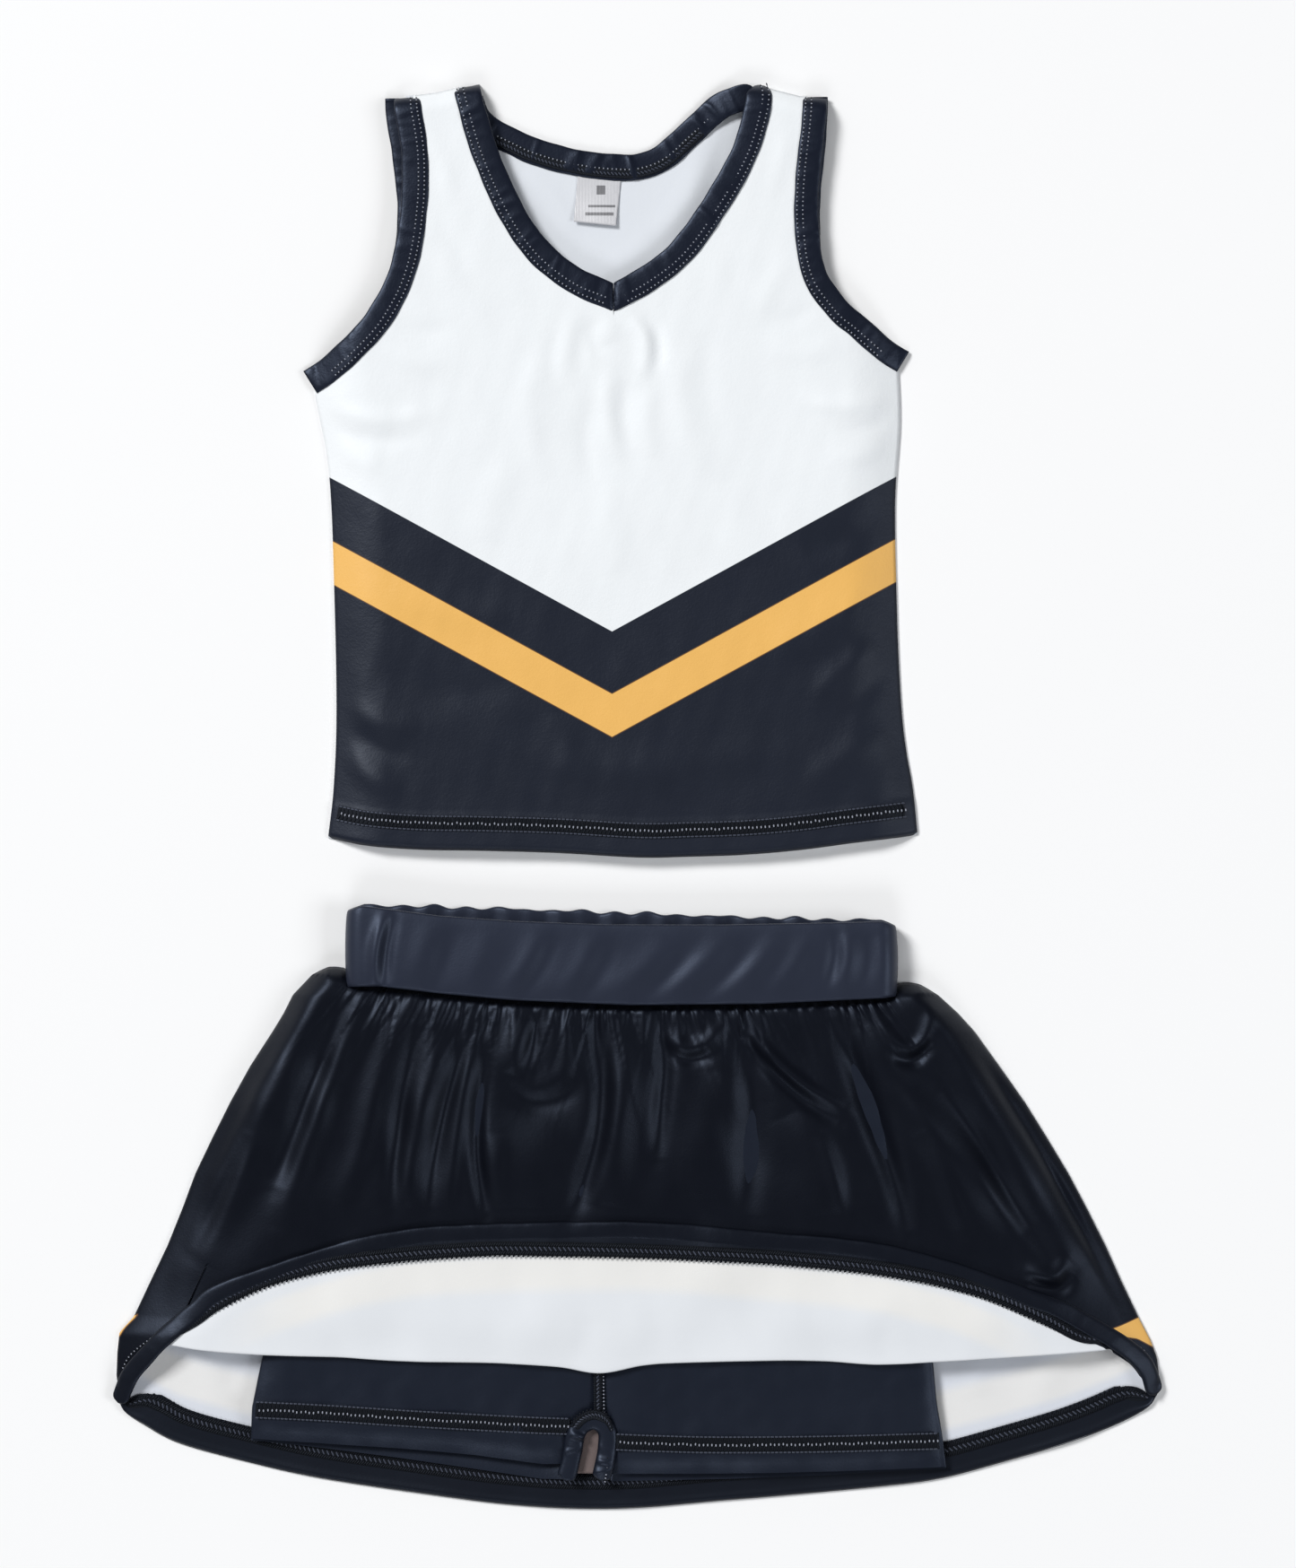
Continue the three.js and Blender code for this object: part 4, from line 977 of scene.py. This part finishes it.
SKIRT_TOP = LEFT_SIDE[3:0:-1] + WAIST_SEAM + RIGHT_SIDE[1:4]
top_y = table(SKIRT_TOP)
seam_y, fold_y, arc_y, white_y = table(WAIST_SEAM), table(FOLD_LINE), table(HEM_ARC), table(WHITE_EDGE)

SKIRT_CROWN, SKIRT_EDGE = 12.6, 1.2
SEAM_DROP = 1.6  # the gathers start this far under the seam line
STRIPE_NEAR, STRIPE_FAR = 17.0, 31.0
FRONT_HEM_DEPTH = 14

# Folds of the skirt's front: height, width, and the line they follow down from the gathered seam.
SKIRT_FOLDS = [
    (3.4, 9.0, [(-152, -85), (-165, -114), (-181, -151), (-198, -195), (-213, -226)]),
    (-3.2, 5.0, [(-137, -93), (-146, -115), (-156, -139), (-165, -163), (-174, -189)]),
    (2.6, 6.5, [(-134, -100), (-146, -131), (-156, -161), (-165, -185), (-172, -209)]),
    (1.8, 5.5, [(-116, -105), (-125, -137), (-131, -165), (-142, -195)]),
    (-2.6, 4.0, [(-105, -108), (-112, -141), (-116, -172), (-117, -199)]),
    (3.0, 6.0, [(-93, -112), (-101, -141), (-108, -172), (-112, -199)]),
    (-2.2, 3.2, [(-82, -115), (-92, -148), (-98, -178), (-100, -199)]),
    (1.8, 3.6, [(-77, -112), (-84, -144), (-89, -178), (-91, -201)]),
    (-3.6, 3.2, [(-72, -122), (-76, -148), (-77, -172), (-73, -201)]),
    (1.6, 14.0, [(-50, -151), (-53, -172), (-53, -199)]),
    (1.3, 5.0, [(-67, -161), (-68, -182), (-66, -199)]),
    (2.4, 5.0, [(-55, -105), (-59, -122), (-61, -134)]),
    (-1.8, 3.0, [(-48, -103), (-50, -119), (-53, -131)]),
    (1.7, 6.5, [(-39, -105), (-34, -119), (-36, -132), (-46, -140), (-56, -138)]),
    (-1.4, 4.8, [(-63, -138), (-53, -147), (-39, -146), (-29, -138)]),
    (-4.6, 5.0, [(-22, -103), (-17, -131), (-18, -158), (-25, -184), (-32, -202)]),
    (4.0, 10.0, [(-8, -105), (-8, -134), (-11, -165), (-15, -199)]),
    (-3.0, 4.0, [(10, -100), (13, -127), (11, -151), (9, -175)]),
    (2.0, 4.0, [(12, -113), (21, -120), (33, -118), (42, -107)]),
    (-1.6, 3.0, [(15, -122), (24, -127), (36, -124)]),
    (2.0, 12.0, [(32, -131), (32, -161), (31, -195)]),
    (-3.4, 7.0, [(50, -114), (55, -144), (54, -172), (51, -202)]),
    (2.6, 3.4, [(48, -107), (61, -122), (79, -138), (100, -150)]),
    (-2.2, 3.2, [(50, -117), (63, -131), (80, -147), (97, -157)]),
    (2.6, 11.0, [(73, -151), (83, -172), (90, -202)]),
    (1.6, 4.0, [(87, -161), (94, -182), (98, -202)]),
    (-4.6, 5.0, [(92, -105), (105, -134), (115, -161), (124, -189), (129, -211)]),
    (3.8, 8.0, [(107, -107), (123, -136), (144, -163), (167, -189), (186, -211)]),
    (2.2, 3.2, [(116, -107), (125, -119), (135, -119), (141, -103)]),
    (-2.0, 2.8, [(121, -125), (132, -127), (141, -118)]),
    (-2.8, 4.5, [(145, -139), (163, -166), (179, -194), (201, -226)]),
    (3.2, 8.0, [(138, -100), (155, -127), (176, -161), (197, -199), (215, -226)]),
    (-2.4, 3.4, [(186, -233), (201, -237), (208, -229)]),
    (2.0, 3.6, [(184, -227), (198, -230), (206, -222)]),
    (-2.2, 3.0, [(166, -126), (193, -170), (214, -209), (234, -247)]),
    (1.4, 2.6, [(173, -131), (199, -175), (221, -213), (239, -247)]),
    (1.6, 5.0, [(135, -161), (148, -185), (155, -209)]),
    (-1.6, 4.0, [(-186, -161), (-200, -192), (-213, -219)]),
]

# Tight gathers at the seam, each (place along the seam, height, width, reach). They bunch in a few places.
GATHERS = []
place = -134.0
gather_rng = np.random.default_rng(21)
BUNCHES = ((-132, -118), (-112, -102), (-97, -56), (-44, -8), (10, 28), (46, 58), (88, 116))
while place < 118:
    bunched = any(a < place < b for a, b in BUNCHES)
    height = gather_rng.uniform(1.3, 2.7) if bunched else gather_rng.uniform(0.3, 1.0)
    GATHERS.append((place, height, gather_rng.uniform(1.2, 2.0), gather_rng.uniform(6, 22)))
    place += gather_rng.uniform(3.8, 6.4) if bunched else gather_rng.uniform(5, 9)


def hem_stripe(distance):
    """Over zero inside the hem's yellow stripe, by the distance from the hem's edge."""
    return np.minimum(distance - STRIPE_NEAR, STRIPE_FAR - distance)


def gathers(x, y):
    """Height of the tight gathers, which fan out and fade under the seam."""
    z = np.zeros(np.shape(x))
    under = seam_y(x) - SEAM_DROP - y
    fan = 1 + np.clip(under, 0, 80) / 260
    at = (x + 8) / fan - 8
    for where, height, width, reach in GATHERS:
        d = (at - where) / (width * (1 + np.clip(under, 0, 60) / 26))
        z += height * (np.exp(-d ** 2) - 0.45) * np.exp(-np.clip(under, 0, None) / reach) * (np.abs(d) < 4)
    return z * smooth(-1.0, 3.0, under)


def skirt_front(x, y):
    """Height of the skirt's front, outside."""
    across = np.minimum(x - left_edge(y), right_edge(y) - x)
    across = np.clip(np.minimum(across, 2.2 * (top_y(x) - y) + 0.5), 0, None)
    roll_width = 16 + 30 * smooth(-100, -200, y)
    roll = np.sin(np.pi / 2 * np.clip(across / roll_width, 0, 1)) ** 0.8
    under = seam_y(np.clip(x, -136.5, 120.5)) - SEAM_DROP - y
    tuck = -1.4 * np.exp(-(np.clip(under, 0, None) / 4.5) ** 2) * smooth(142, 132, np.abs(x + 8.5))
    z = SKIRT_EDGE + (SKIRT_CROWN - SKIRT_EDGE) * roll
    calm = smooth(0, 12, across)
    z = z + calm * (folds(x, y, SKIRT_FOLDS) * (1 - 0.75 * smooth(2, 14, arc_y(x) - y)) + tuck + gathers(x, y)
                    + 0.6 * wobble(x, y, 52, 11) + 0.14 * wobble(1.4 * x + 0.3 * y, 0.8 * y, 26, 12))
    return z


def skirt_plan(bottom, columns, rows):
    """Points between the skirt's top line and a bottom line, spread out to its two side edges."""
    top, low = curve(SKIRT_TOP, columns), curve(bottom, columns)

    def share(p):
        left = left_edge(p[:, 1])
        return (p[:, 0] - left) / (right_edge(p[:, 1]) - left)

    v = np.linspace(0, 1, rows)[:, None]
    across = share(top)[None] * (1 - v) + share(low)[None] * v
    y = top[None, :, 1] * (1 - v) + low[None, :, 1] * v
    return np.dstack([left_edge(y) + across * (right_edge(y) - left_edge(y)), y])


columns = 380
rows = 160
lower = curve(LEFT_LIP, 60)[:-1], curve(FOLD_LINE, 400), curve(RIGHT_LIP, 60)[1:]
plan = skirt_plan(np.vstack([lower[0][::6], lower[1][::20], lower[2][::6], [RIGHT_LIP[-1]]]), columns, rows)
sx, sy = plan[..., 0], plan[..., 1]
sz = skirt_front(sx, sy)
stripe = np.maximum(signed(sx, sy, np.array(RIGHT_STRIPE)), signed(sx, sy, np.array(LEFT_STRIPE)))
skirt_panel = shell("skirt_front", np.dstack([plan, sz]), CLOTH, SATIN, REVERSE,
                    attributes={"stripe": stripe, "show": np.zeros_like(stripe)})

# Turn-up: from the fold line up to the hem's arc. Its underside is the printed side.
flap_columns, flap_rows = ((330, 56))


def flap_height(x, y):
    """Height of the turn-up's upper side, which is the cloth's reverse."""
    swell = 0.5 + 0.9 * smooth(0, 20, y - fold_y(x)) * smooth(0, 12, arc_y(x) - y)
    rows = [(0.9, 12, [(-60, -262), (-40, -245), (-20, -228)]), (-0.8, 6, [(-30, -272), (-26, -260), (-24, -248)]),
            (0.8, 8, [(-4, -270), (0, -256), (2, -240)]), (0.8, 9, [(100, -266), (110, -250), (130, -240)]),
            (-0.6, 6, [(120, -270), (118, -258), (122, -246)])]
    under = skirt_front(x, y)
    return under + CLOTH + swell + 0.6 * folds(x, y, rows)


fold_curve, arc_curve = curve(FOLD_LINE, flap_columns), curve(HEM_ARC, flap_columns)
v = (np.linspace(0, 1, flap_rows) ** 0.9)[:, None]
fx, fy = ruled(fold_curve, arc_curve, v)
fz = flap_height(fx, fy)
# the rounded fold: a few rows that start at the front panel's edge and curl over
curl = np.linspace(-np.pi / 2, np.pi / 2, 7)[:-1]
edge_low = skirt_front(fold_curve[:, 0], fold_curve[:, 1]) - CLOTH
edge_high = fz[0]
mid, radius = (edge_low + edge_high) / 2, (edge_high - edge_low) / 2
cx = np.tile(fold_curve[:, 0], (len(curl), 1))
cy = fold_curve[None, :, 1] - np.cos(curl)[:, None] * np.minimum(radius, 1.3)[None]
cz = mid[None] + np.sin(curl)[:, None] * radius[None]
fx, fy, fz = np.vstack([cx, fx]), np.vstack([cy, fy]), np.vstack([cz, fz])
from_arc = arc_y(fx) - fy
show = smooth(9, 14, from_arc - 4) * (1 - smooth(24, 31, from_arc - 4)) * smooth(10, 60, 215 - np.abs(fx))
flap = shell("front_hem_turnup", np.dstack([fx, fy, fz]), CLOTH, REVERSE, SATIN,
             attributes={"stripe": hem_stripe(from_arc), "show": show})

# The hem allowance on the turn-up: the hem's edge is a rolled fold and its cut edge is overlocked.
across = np.linspace(0, 1, 16)[:, None]
white_curve = np.column_stack([arc_curve[:, 0], white_y(arc_curve[:, 0])])
white_curve[:, 1] = np.minimum(white_curve[:, 1], arc_curve[:, 1] - 0.4)
hx, hy = ruled(white_curve, arc_curve, across)
wide = np.clip((arc_curve[:, 1] - white_curve[:, 1]) / FRONT_HEM_DEPTH, 0, 1)[None]
bulge = np.sqrt(np.clip(1 - ((across - 0.5) / 0.5) ** 6, 0, 1))
hz = flap_height(hx, hy) + 0.25 + wide * (0.9 * bulge + 0.55 * np.exp(-((across - 0.9) / 0.09) ** 2)) - 0.1
hem_turn = shell("front_hem_allowance", np.dstack([hx, hy, hz]), 0.6, HEM_INSIDE, HEM_INSIDE)


def on_allowance(x, y):
    return flap_height(x, y) + 0.25 + 0.9 * np.clip((arc_y(x) - white_y(x)) / FRONT_HEM_DEPTH, 0, 1)


hem_threads = Threads()
chain = [(x, y + 3.4 * min(1, (arc_y(x) - y) / FRONT_HEM_DEPTH)) for x, y in WHITE_EDGE[1:-1]]
chain = [(-226.5, -260.5)] + chain + [(227.0, -261.0)]
overlock(hem_threads, chain[::-1], on_allowance, 0.45, width=6.2, taper=40)
front_hem_stitches = hem_threads.piece("front_hem_overlock")
front_hem_bed = bed("front_hem_thread_bed", chain, 3.3, on_allowance, 0.1, ends=34)
ROLL = [(-249.6, -292.0), (-244.2, -279.0), (-236.0, -269.0), (-226.5, -259.0), (-212, -247.0), (-198, -237.0)]
ROLL += [(x, y - 3.4) for x, y in HEM_ARC[5:-4]]
ROLL += [(184, -239.4), (200, -245.0), (214, -252.6), (227, -260.0), (238, -268.0), (244.6, -276.0),
         (248.6, -288.0)]
hem_roll = band("front_hem_roll", ROLL, 4.4, lambda x, y: skirt_front(x, y) + 1.1, 2.6, SATIN_PLAIN, lift=0.6,
                puckers=0.05, seed=61, round_ends=(4, 4))

# Corners of the front hem, outside up: the rounded lip with its coverstitch.
lip_threads = Threads()
for points in ([(-248.5, -277.0), (-243.5, -268.5), (-232.0, -259.0), (-220, -249.5), (-208, -240.5)],
               [(236, -262.6), (242.6, -266.4), (246.4, -272.2), (248.0, -279.0)]):
    twin_needle(lip_threads, points, skirt_front, 0.15, (0.0,))
lip_stitches = lip_threads.piece("front_hem_corner_stitches")

# ---- Back panel of the skirt -------------------------------------------------

BACK_HEM = [(-249.6, -291.0), (-246.5, -296.5), (-237.6, -302.5), (-221.2, -311.1), (-190.3, -319.7),
            (-151.6, -328.3), (-90.9, -337.3), (-60, -341.0), (-30, -342.8), (0, -342.4), (38, -339.1),
            (64.7, -336.9), (115.5, -332.2), (145.1, -328.3), (177.8, -319.7), (207, -311.1), (229.4, -302.5),
            (244.5, -294.5), (249.4, -288.0)]
back_y = table(BACK_HEM)


def skirt_back(x, y):
    """Height of the inside of the skirt's back."""
    rows = [(1.2, 8, [(-215, -262), (-205, -280), (-200, -296)]), (-0.8, 6, [(-198, -262), (-192, -285)]),
            (1.1, 9, [(190, -262), (196, -280), (186, -298)]), (0.9, 7, [(160, -268), (164, -290)])]
    return 1.4 + folds(x, y, rows) + 0.3 * wobble(x, y, 50, 15)


columns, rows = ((300, 120))
plan = skirt_plan(BACK_HEM, columns, rows)
bx, by = plan[..., 0], plan[..., 1]
inset = smooth(0, 6, np.minimum(bx - left_edge(by), right_edge(by) - bx))
bz = 0.75 + (skirt_back(bx, by) - 0.75) * inset
to_hem = by - back_y(bx)
show = smooth(20, 25, to_hem) * (1 - smooth(38, 45, to_hem))
# Its upper side is the darker reverse, with painted shade.
skirt_back_panel = shell("skirt_back", np.dstack([plan, bz]), CLOTH, REVERSE_BACK_PAINTED_SHADE, SATIN,
                         attributes={"stripe": hem_stripe(to_hem), "show": show})

# Its hem allowance, folded in, with the rolled edge outside.
across = np.linspace(0, 1, 18)[:, None]
edge = curve(BACK_HEM, 300)
HEM_DEPTH = 16.5
run = arc_length(edge)
depth = HEM_DEPTH * smooth(0, 18, run) * smooth(0, 18, run[-1] - run)
inner = edge + sideways(edge) * np.maximum(depth, 4.5)[:, None]
outer = edge - sideways(edge) * 0.5
ax, ay = ruled(outer, inner, across)
round_out = np.sqrt(np.clip(1 - (1 - np.clip(across / 0.14, 0, 1)) ** 2, 0, 1))
az = 0.9 + round_out * (skirt_back(ax, ay) + 0.7 - 0.9) + 0.5 * np.exp(-((across - 0.12) / 0.1) ** 2)
back_allowance = shell("back_hem_allowance", np.dstack([ax, ay, az]), 0.6, HEM_INSIDE, SATIN,
                       attributes={"stripe": np.full_like(ax, -9.0), "show": np.zeros_like(ax)})


def on_back_hem(x, y):
    return skirt_back(x, y) + 0.75


back_threads = Threads()
chain = (edge + sideways(edge) * 12.4 * np.minimum(1, (depth / HEM_DEPTH + 0.1))[:, None])[2:-2:5]
back_bed = bed("back_hem_thread_bed", chain, 3.4, on_back_hem, -0.15, ends=8)
overlock(back_threads, chain, on_back_hem, 0.15, width=6.6, taper=14)
skirt_back_stitches = back_threads.piece("back_hem_overlock")

# ---- Shorts ------------------------------------------------------------------

LEG_LOW, LEG_HIGH = 2.6, 9.6


def leg(name, outer_x, inner_x, front_hem, back_hem, seed):
    """One leg: a flattened tube of cloth. Each x edge is a table of y, each hem a table of x."""
    n_down, top_y, guess_y = 90, -112.0, -300
    t = np.linspace(0, 1, 120)
    turn = np.linspace(np.pi / 2, -np.pi / 2, 10)[1:-1]
    # Once round the leg: over the front, round one edge, back under it, and round the other edge.
    ring = ([(q, 1) for q in t] + [(1.0, np.sin(a)) for a in turn] + [(q, -1) for q in t[::-1]]
            + [(0.0, -np.sin(a)) for a in turn])
    u, upper = (np.tile(column, (n_down, 1)) for column in np.array(ring).T)
    v = np.arange(n_down)[:, None] / (n_down - 1)
    share = (upper + 1) / 2
    x_guess = outer_x(guess_y) + u * (inner_x(guess_y) - outer_x(guess_y))
    hem = front_hem(x_guess) * share + back_hem(x_guess) * (1 - share)
    y = top_y + v * (hem - top_y)
    x0, x1 = outer_x(y), inner_x(y)
    bow = np.sqrt(np.clip(1 - upper ** 2, 0, 1)) * 1.6
    x = x0 + u * (x1 - x0) + np.where(u > 0.5, 1, -1) * np.sign(x1 - x0) * bow * ((u == 0) | (u == 1))
    puff = 1.0 - 0.55 * np.exp(-(np.minimum(u, 1 - u) * np.abs(x1 - x0)) / 5.0)
    mid = (LEG_LOW + LEG_HIGH) / 2
    soft = 0.35 * wobble(x, y, 46, seed) + 0.12 * wobble(x, y, 15, seed + 1)
    flat = 1 - 0.45 * smooth(9, 0, y - hem)
    z = mid + upper * ((LEG_HIGH - LEG_LOW) / 2 * puff * flat + soft * (upper > 0.5))
    return tube(name, np.dstack([x, y, z]), SHORTS_CLOTH, cap=False)


left_outer = table([(-150, -112), (-168, -200), (-178.4, -268), (-181.0, -280), (-183.8, -294), (-184.4, -312)], 1)
left_inner = table([(-14, -112), (-19.0, -268), (-19.4, -290), (-20.6, -297), (-28, -304), (-34.0, -314),
                    (-36, -330)], 1)
left_hem = table([(-186, -308.4), (-150, -310.6), (-110, -313.0), (-70, -316.4), (-35, -320.6)])
left_back_hem = table([(-186, -309.6), (-150, -313.4), (-110, -318.2), (-70, -323.6), (-35, -328.4)])
right_outer = table([(112, -112), (130, -200), (139.6, -268), (141.6, -290), (144.8, -310), (146.4, -324)], 1)
right_inner = table([(-14, -112), (-18.2, -268), (-18.0, -290), (-17.0, -297), (-12.5, -304), (-11, -314),
                     (-12, -330)], 1)
right_hem = table([(-12, -325.4), (40, -325.2), (90, -324.2), (147, -322.0)])
right_back_hem = table([(-12, -329.4), (40, -328.4), (90, -326.4), (147, -323.0)])

short_left = leg("shorts_left_leg", left_outer, left_inner, left_hem, left_back_hem, 31)
short_right = leg("shorts_right_leg", right_outer, right_inner, right_hem, right_back_hem, 33)


on_leg = at_level(LEG_HIGH + 0.1)
leg_stitches, leg_beds = [], []
for name, points in (("left", [(-183.2, -294.2), (-150, -295.8), (-110, -298.4), (-70, -300.6), (-50, -301.6),
                               (-32.5, -302.2)]),
                     ("right", [(-10.6, -309.6), (10, -310.4), (40, -311.0), (90, -310.6), (144.2, -309.2)])):
    threads = Threads()
    coverstitch(threads, points, on_leg, 0.75, width=7.4)
    leg_stitches.append(threads.piece("shorts_%s_hem_stitches" % name))
    leg_beds.append(bed("shorts_%s_hem_thread_bed" % name, points, 3.9, on_leg, 0.35))

centre_threads = Threads()
twin_needle(centre_threads, [(-16.6, -276.5), (-16.5, -286), (-16.3, -296)], on_leg, 0.3, (0.0,), pitch=1.7)
twin_needle(centre_threads, [(-14.6, -316.5), (-14.9, -322), (-16.0, -329.5)], on_leg, 1.5, (0.0,), pitch=1.7)
overlock(centre_threads, [(-19.4, -276.5), (-19.3, -286), (-19.2, -296)], on_leg, 0.2, width=4.0, pitch=1.9)
CAP = [(-32.0, -309.5), (-30.2, -302.4), (-25.6, -297.9), (-20.2, -296.6), (-15.2, -299.2), (-12.4, -304.6)]
overlock(centre_threads, CAP, on_leg, 1.15, width=4.4, pitch=1.5, taper=8)
centre_seam = centre_threads.piece("shorts_centre_stitches")

ARCH = [(-35.0, -328.0), (-33.0, -322), (-31.3, -314), (-30.2, -307), (-27.2, -301.9), (-22.0, -299.6),
        (-17.2, -301.4), (-14.6, -306), (-14.8, -313), (-16.2, -321), (-18.0, -328)]
arch = band("shorts_gusset_roll", ARCH, 4.6, at_level(7.8), 5.4, SHORTS_CLOTH, puckers=0.75, seed=41,
            round_ends=(2, 2))

# The white reverse in the gap between the legs, with painted shade: it is coloured brownish grey for the shade
# there.
u, v = np.meshgrid(np.linspace(-30.0, -17.5, 12), np.linspace(-325.5, -300.0, 24))
lining_height = 5.4 + 0.5 * np.cos((u + 22) / 4)
gusset_lining = shell("shorts_gusset_lining", np.dstack([u, v, lining_height]), 0.6, GUSSET_PAINTED_SHADE, GUSSET_PAINTED_SHADE)

# ---- Seams -------------------------------------------------------------------

def seam_threads(name, points, height, lift):
    threads = Threads()
    at, t, n = along(points, 2.2)
    threads.lay(height, at - t * 0.8, at + t * 0.8, lift, 0.35)
    threads.lay(height, at - n * 0.8, at + n * 0.8, lift, 0.3)
    return threads.piece(name)


def seam_strip(name, line, half, z, thickness, material):
    return band(name, line, half, at_level(z), thickness, material, lift=0, puckers=0.03, seed=51)


side_left = seam_strip("top_side_seam_l", TOP_LEFT[2:-3:6] + [3.0, 0], 0.9, 1.3, 0.9, HEM_INSIDE)
side_right = seam_strip("top_side_seam_r", TOP_RIGHT[2:-3:6] - [3.0, 0], 0.9, 1.3, 0.9, HEM_INSIDE)
SIDE_IN = 3.5  # the skirt's side seams lie this far inside its edges
skirt_side_left = seam_strip("skirt_side_seam_l", curve(LEFT_SIDE[5:], 30)[:-2] + [SIDE_IN, 0], 0.8, 1.0, 1.4,
                             HEM_INSIDE)
skirt_side_right = seam_strip("skirt_side_seam_r", curve(RIGHT_SIDE[4:], 30)[:-2] - [SIDE_IN, 0], 0.8, 1.0, 1.4,
                              HEM_INSIDE)
shoulder_pieces = []
for name, points in (("left", [(-103.5, 333.6), (-96, 334.6), (-88.5, 336.0)]),
                     ("right", [(66.0, 336.0), (71, 334.8), (78.0, 333.0)])):
    shoulder_pieces.append(seam_strip("shoulder_seam_" + name[0], points, 1.2, 2.9, 1.6, INSIDE))
gather_seam = seam_threads("waist_gather_stitches", [(x, y - 2.0) for x, y in WAIST_SEAM[1:-1]], skirt_front, 0.3)

# ---- Bodies and replaced nodes -----------------------------------------------

for pieces, body, slot, node in (
        ([front], TOP, "white_knit", "top_front_panel"),
        ([back], TOP, "white_knit", "top_back_panel"),
        ([neck_left, neck_right, neck_back], TOP, "navy_binding", "neck_binding"),
        ([arm_left, arm_left_back], TOP, "navy_binding", "armhole_binding_left"),
        ([arm_right, arm_right_back], TOP, "navy_binding", "armhole_binding_right"),
        ([neck_stitches] + arm_stitches, TOP, "navy_thread", None),
        ([top_hem_stitches], TOP, "navy_thread", "top_front_hem_coverstitch"),
        ([top_hem_bed], TOP, "navy_thread", None),
        ([back_hem_stitches], TOP, "navy_thread", "top_back_hem_coverstitch"),
        ([side_left], TOP, "navy_thread", "top_side_seam_left"),
        ([side_right], TOP, "navy_thread", "top_side_seam_right"),
        (shoulder_pieces[:1], TOP, "white_knit", "shoulder_seam_left"),
        (shoulder_pieces[1:], TOP, "white_knit", "shoulder_seam_right"),
        ([casing], SKIRT, "navy_knit", "waistband_casing"),
        ([elastic], SKIRT, "white_elastic", "waistband_elastic"),
        ([gather_seam], SKIRT, "navy_thread", "waist_gathering_seam"),
        ([skirt_panel], SKIRT, "navy_knit", "skirt_front_panel"),
        ([skirt_back_panel, back_allowance], SKIRT, "navy_knit", "skirt_back_panel"),
        ([skirt_back_stitches], SKIRT, "navy_thread", "skirt_back_hem_coverstitch"),
        ([back_bed, lip_stitches], SKIRT, "navy_thread", None),
        ([skirt_side_left], SKIRT, "navy_thread", "skirt_side_seam_left"),
        ([skirt_side_right], SKIRT, "navy_thread", "skirt_side_seam_right"),
        ([short_left], SKIRT, "navy_knit", "shorts_left"),
        ([short_right], SKIRT, "navy_knit", "shorts_right"),
        (leg_stitches[:1], SKIRT, "navy_thread", "shorts_left_hem_coverstitch"),
        (leg_stitches[1:], SKIRT, "navy_thread", "shorts_right_hem_coverstitch"),
        (leg_beds, SKIRT, "navy_thread", None),
        ([centre_seam], SKIRT, "navy_thread", "shorts_centre_seam"),
        ([arch, gusset_lining], SKIRT, "navy_knit", "shorts_gusset"),
        ([front_hem_bed], FLAP, "navy_thread", None),
        ([hem_turn], FLAP, "navy_knit", "skirt_front_turnup"),
        ([front_hem_stitches], FLAP, "navy_thread", "skirt_front_hem_coverstitch")):
    for piece in pieces:
        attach(piece, body)
        if node:
            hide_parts(node)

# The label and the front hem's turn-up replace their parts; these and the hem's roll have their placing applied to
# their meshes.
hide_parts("size_label")
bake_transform(size_label)
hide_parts("skirt_front_turnup")
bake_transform(flap)
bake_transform(hem_roll)

# ---- Stage -------------------------------------------------------------------

floor_mesh = bpy.data.meshes.new("floor")
HALF_FLOOR, FLOOR_LEVEL = 12.0, -0.0003
floor_mesh.from_pydata([(x * HALF_FLOOR, y * HALF_FLOOR, FLOOR_LEVEL)
                        for x, y in ((-1, -1), (1, -1), (1, 1), (-1, 1))], [], [(0, 1, 2, 3)])
floor = placed("floor", floor_mesh)
paper = Nodes("pale_paper")
paper_colour = paper.varied((0.935, 0.935, 0.935, 1.0), 0.004, 0.3)
floor_mesh.materials.append(paper.finish(paper_colour, 0.85, 0.03, specular=0.2))

world = bpy.data.worlds.new("studio")
world.use_nodes = True
background = world.node_tree.nodes["Background"]
background.inputs["Color"].default_value = (0.97, 0.985, 1.0, 1.0)
background.inputs["Strength"].default_value = 0.17
bpy.context.scene.world = world


def softbox(name, place, size, power, colour=(1, 1, 1)):
    """A rectangular lamp that faces the origin."""
    data = bpy.data.lights.new(name, "AREA")
    data.shape = "RECTANGLE"
    data.size, data.size_y = size
    data.energy = power
    data.color = colour
    lamp = placed(name, data)
    lamp.location = place
    lamp.rotation_euler = Vector(-np.array(place, float)).to_track_quat("-Z", "Y").to_euler()


softbox("key", (-4.3, 3.7, 5.7), (2.35, 2.35), 557.0)
softbox("fill_right", (3.2, -0.6, 2.6), (1.6, 1.6), 47.0, (0.95, 0.97, 1.0))
softbox("fill_low", (-0.6, -3.2, 2.6), (2.0, 1.2), 30.0, (0.95, 0.97, 1.0))

camera_data = bpy.data.cameras.new("camera")
CAMERA_HEIGHT, CAMERA_X, CAMERA_Y = 1.9, 0.00473, 0.00538
# The view is this high, in metres, at the middle of the cloth's thickness.
VIEW_HEIGHT, VIEW_LEVEL, SENSOR = 0.7516, 0.008, 36.0
camera_data.sensor_width = SENSOR
camera_data.lens = SENSOR * (CAMERA_HEIGHT - VIEW_LEVEL) / VIEW_HEIGHT
camera = placed("camera", camera_data)
camera.location = (CAMERA_X, CAMERA_Y, CAMERA_HEIGHT)
bpy.context.scene.camera = camera
bpy.context.scene.view_settings.view_transform = "Standard"
bpy.context.scene.view_settings.look = "None"
